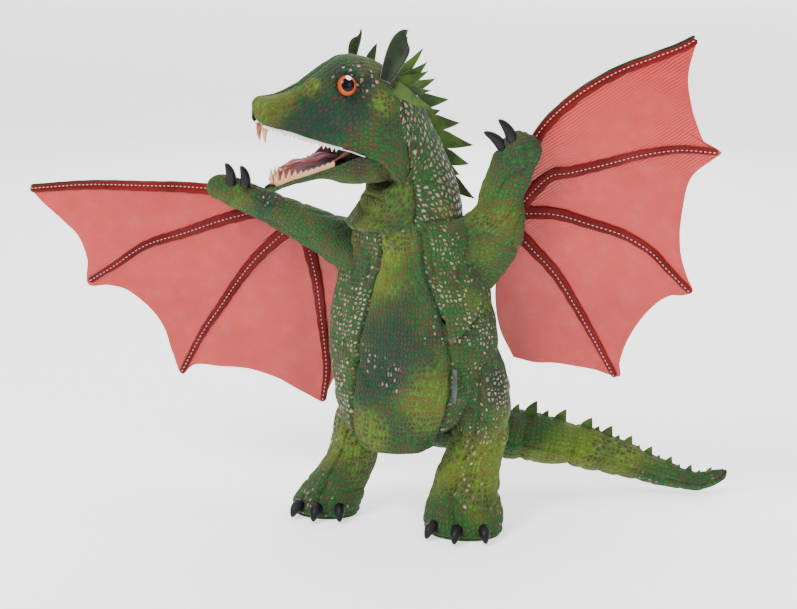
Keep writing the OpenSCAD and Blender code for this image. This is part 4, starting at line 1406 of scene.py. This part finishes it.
class PUPPET_OT_wings(bpy.types.Operator):
    """Both wings: a stretched mesh skin, stitched mesh ribs and the leading edge with its green backing"""

    bl_idname = "puppet.wings"
    bl_label = "Wings"

    def execute(self, context):
        _, col = settings()
        skin = wing_mesh_shader(col)
        rib = close_mesh("rib_mesh", col.rib_red, (0.16, 0.01, 0.012))
        thread = felt("wing_thread", col.stitch, (0.6, 0.4, 0.38), 6)
        backing = felt("wing_backing", (0.05, 0.075, 0.03), (0.02, 0.03, 0.015), 7)
        bright = close_mesh("edge_mesh", col.edge_red, col.rib_red)
        for side, w in WINGS.items():
            self.skin(side, w, skin)
            parts = []
            for i, line in enumerate(w["ribs"]):
                rods = [rod("rib", w, line, (15, 6.5), 1.7, 1.6, i),
                    rod("rib", w, line, (15, 6.5), 1.2, -1.9, i + 5)]
                for piece, mat in zip(rods + [stitches(w, line, 3.0)], (rib, rib, thread)):
                    piece.data.materials.append(mat)
                    parts.append(piece)
            ribs = merged("wing_rib_set_" + side, parts)
            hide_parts("wing_ribs_" + side)
            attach(ribs, w["body"])
            # the backing strip lies just past the leading edge, and the stitches just inside it
            past, seam = (0, -1.5) if side == "right" else (-2.5, 1.5)
            up = [(x + past, y + 3.6) for x, y in w["lead"]]
            parts = [
                rod("lead", w, w["lead"], (13, 8), 2.4, 0.8),
                rod("lead", w, up, (5.5, 4), 2.0, -2.2),
                stitches(w, w["lead"], 2.9, offset=seam),
            ]
            for piece, mat in zip(parts, (bright, backing, thread)):
                piece.data.materials.append(mat)
            lead = merged("wing_leading_edge_" + side, parts)
            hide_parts("wing_edge_" + side)
            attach(lead, w["body"])
        return {"FINISHED"}

    def skin(self, side, w, mat):
        """A ruled sheet between the leading edge with its inner hem and the scalloped edge, thickened
        front and back."""
        rim = even(w["edge"], 200)
        hub = np.vstack([even(w["lead"], 110)[::-1], even([w["lead"][0]] + w["inner"], 91)[1:]])
        t = np.linspace(0, 1, 90)[:, None, None]
        flat = hub[None] + (rim - hub)[None] * t
        front = billow(w, flat)
        edge = np.minimum(1, np.minimum(t, 1 - t)[..., 0] * 40)
        edge = edge * np.minimum(1, np.minimum(np.arange(200), 199 - np.arange(200)) / 2.0)[None]
        # the skin closes along its outline, and elsewhere keeps at least a quarter of its thickness
        half = 0.3 * np.where(edge <= 0, 0, np.maximum(edge, 0.25))
        top, low = wing_space(w, flat, front + half), wing_space(w, flat, front - half)
        ring = np.concatenate([top, low[:, ::-1]], 1)
        span = flat * MM
        uv = np.concatenate([span, span[:, ::-1], span[:, :1]], 1)
        ob = tidy_mesh(grid_object("wing_skin_" + side, ring, uv, around=True, caps=False), 0.00001)
        dress(ob, mat)
        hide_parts("wing_membrane_" + side)
        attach(ob, w["body"])


def wing_mesh_shader(col):
    """Open red mesh: fine slanting threads with holes, redder and paler in slow random patches."""
    s = Shader("wing_mesh", Sheen_Weight=0.05, Specular_IOR_Level=0.2)
    flat = s.coords("UV", scale=(1000 / 3.0, 1000 / 3.0, 1), turn=(0, 0, 0.95))
    split = s.add("ShaderNodeSeparateXYZ")
    s.link(flat, split.inputs[0])
    wobble = s.noise(s.coords("UV", scale=(30, 30, 1)), 1.0, 3, 0.5)
    turns = s.math("ADD", s.math("MULTIPLY", split.outputs[0], TAU), s.math("MULTIPLY", wobble, 9.0))
    along = s.math("SINE", turns)
    cross = s.math("SINE", s.math("MULTIPLY", split.outputs[1], TAU * 1.4))
    place = s.coords("Object")
    patch = s.noise(place, 9, 2, 0.5)
    glow = s.noise(place, 55, 3, 0.6)
    tone = s.mix(s.ramp(patch, 0.25, 0.8), rgba(col.wing_red), rgba(col.wing_light))
    tone = s.shaded(s.ramp(along, -0.6, 0.9, 0.0, 0.7), tone, (0.6, 0.3, 0.28))
    tone = s.mix(s.ramp(glow, 0.4, 0.8, 0.0, 0.04), tone, (0.9, 0.5, 0.46, 1))
    s.finish(tone, s.ramp(glow, 0.3, 0.7, 0.45, 0.7), s.bump(along, 0.0002, 0.4))
    gaps = s.math("ADD", s.ramp(along, -0.9, 0.5, 0.7, 0.93), s.ramp(cross, 0.2, 1.0, 0.0, 0.1))
    s.link(gaps, s.bsdf.inputs["Alpha"])
    return s.mat


# ---- legs ----

# [across, back, up, half width, half depth] of each ring, from the hip to the sole
LEG_RIGHT = [
    [-58, 2, 150, 7, 12], [-59, 3, 142, 17, 24], [-61, 5, 126, 24, 30], [-64, 6, 110, 27, 30],
    [-67, 6, 94, 28, 30], [-71, 4, 70, 29, 29], [-78, 2, 50, 31, 29], [-86, -6, 34, 34, 30],
    [-93, -13, 20, 38, 31], [-97, -18, 10, 40, 30.5], [-97, -18, 4.5, 39, 29.5],
    [-97, -18, 3.2, 36, 27],
]
LEG_LEFT = [
    [72, -4, 212, 7, 12], [73, -4, 204, 16, 23], [74, -4, 185, 25, 32], [76, -2, 160, 31, 35],
    [77, 2, 135, 32, 35], [76, 5, 112, 31, 33], [74, 7, 95, 32, 31], [70, 0, 74, 32, 31],
    [66, -14, 53, 37, 32], [65, -28, 35, 40, 33], [67, -38, 20, 43, 34], [68, -44, 10, 44.5, 33.5],
    [68, -44, 4.5, 43, 32], [68, -44, 3.2, 40, 29],
]


def leg_grid(rows, along, around, seed):
    """Level ellipses: centre + (half width sin, -half depth cos), fuller at the thigh, with a seam down
    the front."""
    r = smooth_rows(rows, along)
    a = np.linspace(-math.pi, math.pi, around, endpoint=False)[None]
    p = np.stack([r[:, :1] + r[:, 3:4] * np.sin(a), r[:, 1:2] - r[:, 4:5] * np.cos(a), r[:, 2:3] + 0 * a], -1)
    lift = 1.0 * ripple(p, 55, seed) + 1.5 * folds(p, 66, seed + 1) + 0.5 * ripple(p, 17, seed + 2)
    lift += 3.4 * folds(p * [0.5, 0.5, 1], 34, seed + 3) * bell(p[..., 2] - 42, 17)
    lift += 2.6 * folds(p * [1, 1, 0.35], 30, seed + 4) * bell(p[..., 2] - 95, 34)
    lift = lift * step(3.5, 12, p[..., 2])
    front = a * r[:, 3:4] + (6 if rows[0][0] > 0 else 10) * np.sin(p[..., 2] / 34)
    lift -= 3.4 * bell(front, 2.1) * step(8, 16, p[..., 2])
    lift -= 1.8 * bell(p[..., 2] - 9, 1.8)
    return p + np.stack([np.sin(a), -np.cos(a), 0 * a], -1) * lift[..., None]


class PUPPET_OT_legs(bpy.types.Operator):
    """Both stuffed legs with their feet, the flat soles and three vinyl claws on each foot"""

    bl_idname = "puppet.legs"
    bl_label = "Legs"

    def execute(self, context):
        _, col = settings()
        claws = claw_shader(col)
        skin = scale_plush("leg_scales", 4.4, 6.0, 0.45, 0.45, 0.45, 0.45, 16)
        sole_skin = scale_plush("sole_scales", 4.4, 5.0, 0.1, 0.3, 0.7, 0.3, 17, kind="Object")
        for side, rows, top in (("right", LEG_RIGHT, (-65, 13)), ("left", LEG_LEFT, (75, 15))):
            p = leg_grid(rows, 240, 170, 90 + len(side))
            ob = tidy_mesh(grid_object("leg_and_foot_" + side, body_pt(p[::-1])))
            stuffed(ob, lambda q: step(30, 14, q[:, 2]))
            dress(ob, skin)
            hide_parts("leg_" + side, "foot_" + side)
            short = "leg_" + side[0]
            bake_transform(ob)
            low, high = node_box("sole_" + side)
            mid, half = (low + high) / 2, (high - low) / 2
            a = np.linspace(0, TAU, 120, endpoint=False)[None]
            # [height, share of the half width] up the sole's rounded edge
            prof = np.array([[0.0, 0.96], [0.5, 0.985], [1.4, 1.0], [2.3, 0.99], [3.0, 0.95]])
            k = smooth_rows(prof, 24)
            x = mid[0] + half[0] * k[:, 1:] * np.cos(a)
            y = mid[1] + half[1] * k[:, 1:] * np.sin(a)
            p = np.stack([x, y, low[2] + np.clip(k[:, :1], 0, 3) + 0 * a], -1)
            ob = tidy_mesh(grid_object("sole_pad_" + side, p))
            dress(ob, sole_skin)
            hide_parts("sole_" + side)
            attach(ob, short)
        sets = {
            "right": [((-121, -38, 13), (-126, -54, 2.8)), ((-98, -45, 13), (-99, -62, 2.8)),
                ((-74, -39, 13), (-70, -56, 2.8))],
            "left": [((40, -66, 13), (35, -83, 2.8)), ((68, -74, 13), (68, -92, 2.8)),
                ((96, -66, 13), (101, -82, 2.8))],
        }
        for side, rows in sets.items():
            parts = [claw_mesh(b, t, 7.4, (0, -1.5, 3.6), body_pt) for b, t in rows]
            ob = merged("toe_claw_set_" + side, parts)
            dress(ob, claws)
            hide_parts("toe_claws_" + side)
            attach(ob, "leg_" + side[0])
        return {"FINISHED"}


# ---- tail ----

# [across, back, up, half width, half height] of each ring, from the body to the tip
TAIL_BASE = [
    [2, 30, 98, 6, 8], [6, 36, 96, 20, 22], [16, 48, 93, 25, 27], [34, 65, 87, 27, 28.5],
    [60, 80, 80, 27, 28.5], [92, 91, 74, 27, 28.5], [124, 100, 68, 26, 27.5], [142, 104, 64, 24.5, 26],
    [153, 107, 61.5, 22.5, 24.5], [160, 108.6, 59.8, 19, 22], [163.5, 109.4, 59, 11, 14],
    [164.5, 109.6, 58.8, 2, 3],
]
TAIL_TIP = [
    [157, 107.8, 60.6, 4, 5], [160, 108.4, 60, 14, 17], [166, 110, 58.6, 20, 23],
    [174, 112, 56.5, 21.5, 24.5], [190, 116, 52, 21.5, 23.5], [206, 120, 47, 20, 22],
    [235, 128, 35.5, 17.5, 19], [268, 136, 23.5, 14, 15], [296, 142, 16, 10.6, 11.5],
    [312, 145, 15, 10, 11], [328, 148, 21, 7.5, 8.5], [335, 149.6, 26.5, 4, 5],
    [337.5, 150, 28.6, 1, 1.5],
]


class PUPPET_OT_tail(bpy.types.Operator):
    """The stuffed tail in two lengths that meet in a fold, with a felt crest along each"""

    bl_idname = "puppet.tail"
    bl_label = "Tail"

    def execute(self, context):
        _, col = settings()
        skin = scale_plush("tail_scales", 4.6, 6.0, 0.35, 0.4, 0.5, 0.4, 18)
        crest = felt("tail_felt", col.felt, col.felt_dark, 8)
        for rows, name, body, node in (
            (TAIL_BASE, "tail_root_length", "tail_root", "tail_base"),
            (TAIL_TIP, "tail_end_length", "tail_end", "tail_tip"),
        ):
            p, r, th = tube_grid(rows, (0, 0, 1), 230, 150)
            lift = 0.8 * ripple(p, 48, 111) + 1.4 * folds(p * [1, 1, 0.4], 44, 112) + 0.4 * ripple(p, 15, 113)
            for x, deep, wide in ((60, 2.6, 4), (84, 3.6, 5), (110, 3.0, 4.5), (205, 1.8, 4), (250, 1.5, 4)):
                lift -= deep * bell(p[..., 0] - x - 0.18 * (p[..., 2] - 70), wide)
            # a seam runs along the near side, just below the middle
            side_seam = (th - math.radians(186) + math.pi) % TAU - math.pi
            lift -= 2.2 * bell(side_seam[None] * r[:, 4:5], 1.8)
            p = p + grid_normals(p) * lift[..., None]
            p[..., 2] = np.maximum(p[..., 2], 0.6)
            ob = tidy_mesh(grid_object(name, body_pt(p)))
            stuffed(ob, lambda q: 0.9 * step(8, 3, q[:, 2]))
            dress(ob, skin)
            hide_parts(node)
            middle = smooth_rows(rows, 300)
            if node == "tail_base":
                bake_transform(ob)
                self.spikes(middle, 50, 148, 7, 15, "tail_crest_base", body, crest)
            else:
                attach(ob, body)
                self.spikes(middle, 178, 318, 13, 13, "tail_crest_tip", body, crest)
        return {"FINISHED"}

    def spikes(self, middle, first, last, count, height, node, body, mat):
        """Felt triangles along the top line, tall and short by turns, leaning back and shrinking to the
        tip."""
        parts = []
        taper = 0.55 if node == "tail_crest_tip" else 0.0
        for i, x in enumerate(np.linspace(first, last, count)):
            c = [np.interp(x, middle[:, 0], middle[:, k]) for k in range(5)]
            shrink = 1 - taper * i / count
            tall = height * (1.0 if i % 2 == 0 else 0.55) * shrink
            base = np.array([c[0], c[1], c[2] + c[4] - 2.5])
            lean = 0.55 * tall
            tip = base + np.array([lean, lean * 0.28, tall + 2.0])
            wide = (15 if i % 2 == 0 else 9) * shrink
            parts.append(leaf("spike", base, tip, wide, (-0.28, 0.96, 0.0), 1.9, i, space=body_pt, curl=0.06))
        ob = merged(node + "_spikes", parts)
        dress(ob, mat)
        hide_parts(node)
        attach(ob, body)


# ---- stage ----


class PUPPET_OT_stage(bpy.types.Operator):
    """A pale table, a pale backdrop, soft lights and the camera"""

    bl_idname = "puppet.stage"
    bl_label = "Stage"

    def execute(self, context):
        sizes, _ = settings()
        target = Vector((0.0485, -0.0229, 0.243))
        half_table, wall_away = 20000, 9000
        p = half_table * np.array([[-1, -1, 0], [1, -1, 0], [1, 1, 0], [-1, 1, 0]], float)
        floor = mesh_object("table", p, [[0, 1, 2, 3]], np.zeros((0, 3), int), p[:, :2] * MM, False)
        floor.data.materials.append(self.paper(1.0))
        q = wall_away * np.array([[-1, 1, 0], [1, 1, 0], [1, 1, 0.9], [-1, 1, 0.9]], float)
        wall = mesh_object("backdrop", q, [[0, 1, 2, 3]], np.zeros((0, 3), int), q[:, [0, 2]] * MM, False)
        wall.data.materials.append(self.paper(2.6))
        # each lamp's name, place, width in metres, power in watts and tint
        for name, place, size, power, tint in (
            ("key_light", (-1.1, -1.6, 2.2), 1.3, 80, (1, 0.985, 0.96)),
            ("fill_light", (1.8, -1.3, 1.3), 1.8, 18, (0.96, 0.98, 1)),
            ("top_light", (0.1, 0.5, 2.6), 2.2, 40, (1, 1, 1)),
            ("back_light", (-0.4, 2.2, 1.2), 2.0, 16, (1, 1, 1)),
        ):
            data = bpy.data.lights.new(name, "AREA")
            data.shape, data.size, data.energy, data.color = "DISK", size, power, tint
            ob = bpy.data.objects.new(name, data)
            ob.location = place
            ob.rotation_euler = (target - Vector(place)).to_track_quat("-Z", "Y").to_euler()
            context.scene.collection.objects.link(ob)
        world = bpy.data.worlds.new("studio")
        context.scene.world = world
        world.use_nodes = True
        world.node_tree.nodes["Background"].inputs[0].default_value = (0.97, 0.98, 1.0, 1)
        world.node_tree.nodes["Background"].inputs[1].default_value = sizes.sky
        cam_data = bpy.data.cameras.new("camera")
        cam_data.lens, cam_data.sensor_width = 85, 36
        cam_data.clip_end = 90
        cam = bpy.data.objects.new("camera", cam_data)
        turn, rise = sizes.camera_turn, sizes.camera_rise
        away = Vector((math.sin(turn) * math.cos(rise), -math.cos(turn) * math.cos(rise), math.sin(rise)))
        cam.location = target + away * sizes.camera_distance
        cam.rotation_euler = (-away).to_track_quat("-Z", "Y").to_euler()
        context.scene.collection.objects.link(cam)
        context.scene.camera = cam
        return {"FINISHED"}

    def paper(self, glow):
        """Matt white paper with a faint grain, lit up from behind by the given strength."""
        s = Shader("table_paper", Specular_IOR_Level=0.1, Emission_Strength=glow, Emission_Color=(1, 1, 1, 1))
        place = s.coords("Object")
        grain = s.noise(place, 300, 3, 0.6)
        tone = s.mix(s.ramp(grain, 0.3, 0.7), (0.99, 0.99, 0.99, 1), (0.95, 0.95, 0.95, 1))
        s.finish(tone, s.ramp(grain, 0.3, 0.7, 0.8, 0.95), s.bump(grain, 0.0001, 0.1))
        return s.mat


# ---- settings, panel and start ----


def size_prop(name, value, text, low, high):
    """A length in metres."""
    return bpy.props.FloatProperty(
        name=name, default=value, description=text, min=low, max=high, unit="LENGTH", subtype="DISTANCE")


def angle_prop(name, degrees, text):
    """An angle, given in degrees."""
    return bpy.props.FloatProperty(
        name=name, default=math.radians(degrees), description=text, unit="ROTATION", subtype="ANGLE")


def colour_prop(name, value, text):
    """A colour in linear red, green and blue."""
    return bpy.props.FloatVectorProperty(
        name=name, default=value, description=text, size=3, min=0, max=1, subtype="COLOR")


class PuppetSizes(bpy.types.PropertyGroup):
    """Sizes of the cloth, the camera's place and the room light"""

    wall: size_prop("Panel thickness", 0.009, "Thickness of the padded body panels", 0.003, 0.012)
    seam_depth: size_prop("Seam depth", 0.0038, "How deep the seams between panels sink", 0.0, 0.005)
    camera_distance: size_prop("Camera distance", 2.07, "How far the camera stands from the puppet", 0.5, 6)
    camera_turn: angle_prop("Camera turn", 14, "Camera angle around the puppet")
    camera_rise: angle_prop("Camera rise", 14, "Camera angle above the table")
    sky: bpy.props.FloatProperty(
        name="Room light", default=0.55, description="Strength of the light from all around", min=0, max=3)


class PuppetColours(bpy.types.PropertyGroup):
    """Colours of every cloth and finish"""

    green: colour_prop("Green", (0.022, 0.098, 0.02), "Middle green of the scales")
    yellow_green: colour_prop("Yellow-green", (0.13, 0.215, 0.016), "Light scales")
    # teal is a print colour, and also the painted shade in the grooves between the scales
    teal: colour_prop("Teal", (0.005, 0.036, 0.022), "Dark lines between the scales")
    red_brown: colour_prop("Red-brown", (0.15, 0.03, 0.018), "Brown spots")
    plum: colour_prop("Plum", (0.055, 0.02, 0.026), "Dark plum patches")
    foil: colour_prop("Foil", (0.55, 0.35, 0.28), "Shiny printed dots")
    felt: colour_prop("Felt", (0.07, 0.13, 0.018), "Felt leaves and spikes")
    felt_dark: colour_prop("Felt shade", (0.03, 0.06, 0.015), "Dark felt")
    satin: colour_prop("Satin", (0.86, 0.85, 0.82), "White roof of the mouth")
    lining: colour_prop("Lining", (0.012, 0.025, 0.012), "Cloth of the sleeve")
    label: colour_prop("Label", (0.02, 0.036, 0.03), "Blank side label")
    # the peach paints white felt in the mouth's shade, warmed by light reflected from the red tongue; the
    # fangs use the same colour
    tooth: colour_prop("Teeth", (0.72, 0.36, 0.17), "Felt teeth and fangs")
    mouth: colour_prop("Mouth", (0.17, 0.016, 0.014), "Cloth in the mouth")
    tongue: colour_prop("Tongue", (0.2, 0.004, 0.014), "Tongue")
    gusset: colour_prop("Mouth corner", (0.26, 0.05, 0.03), "Corner of the mouth")
    eye: colour_prop("Eye", (0.9, 0.13, 0.0), "Iris")
    claw: colour_prop("Claws", (0.0015, 0.0017, 0.002), "Vinyl claws")
    wing_red: colour_prop("Wing", (0.5, 0.009, 0.007), "Wing mesh near the rods")
    wing_light: colour_prop("Wing light", (0.58, 0.03, 0.02), "Wing mesh in the middle of a bay")
    rib_red: colour_prop("Ribs", (0.1, 0.002, 0.002), "Dark mesh ribs")
    edge_red: colour_prop("Wing edge", (0.17, 0.004, 0.003), "Mesh of the leading edge")
    stitch: colour_prop("Stitching", (0.75, 0.42, 0.38), "Thread on the wings")


STEPS = (
    PUPPET_OT_glove_body, PUPPET_OT_neck, PUPPET_OT_head, PUPPET_OT_jaw, PUPPET_OT_teeth, PUPPET_OT_eyes,
    PUPPET_OT_ears, PUPPET_OT_arms, PUPPET_OT_wings, PUPPET_OT_legs, PUPPET_OT_tail, PUPPET_OT_stage,
)


class PUPPET_PT_panel(bpy.types.Panel):
    """Sizes, colours and one button per group of pieces"""

    bl_label = "Winged dragon puppet"
    bl_idname = "PUPPET_PT_panel"
    bl_space_type = "VIEW_3D"
    bl_region_type = "UI"
    bl_category = "Puppet"

    def draw(self, context):
        """Lists the settings, then a button for each group of pieces."""
        for group in (context.scene.puppet_sizes, context.scene.puppet_colours):
            for key in group.__annotations__:
                self.layout.prop(group, key)
        for op in STEPS:
            self.layout.operator(op.bl_idname, text=op.bl_label)


CLASSES = (PuppetSizes, PuppetColours, *STEPS, PUPPET_PT_panel)


def register():
    """Adds the panel, its settings and its buttons to Blender."""
    for cls in CLASSES:
        bpy.utils.register_class(cls)
    bpy.types.Scene.puppet_sizes = bpy.props.PointerProperty(type=PuppetSizes)
    bpy.types.Scene.puppet_colours = bpy.props.PointerProperty(type=PuppetColours)


def unregister():
    """Takes them away again."""
    del bpy.types.Scene.puppet_colours
    del bpy.types.Scene.puppet_sizes
    for cls in reversed(CLASSES):
        bpy.utils.unregister_class(cls)


def main():
    """Builds every piece."""
    register()
    for op in STEPS:
        group, name = op.bl_idname.split(".")
        getattr(getattr(bpy.ops, group), name)()


if __name__ == "__main__":
    main()
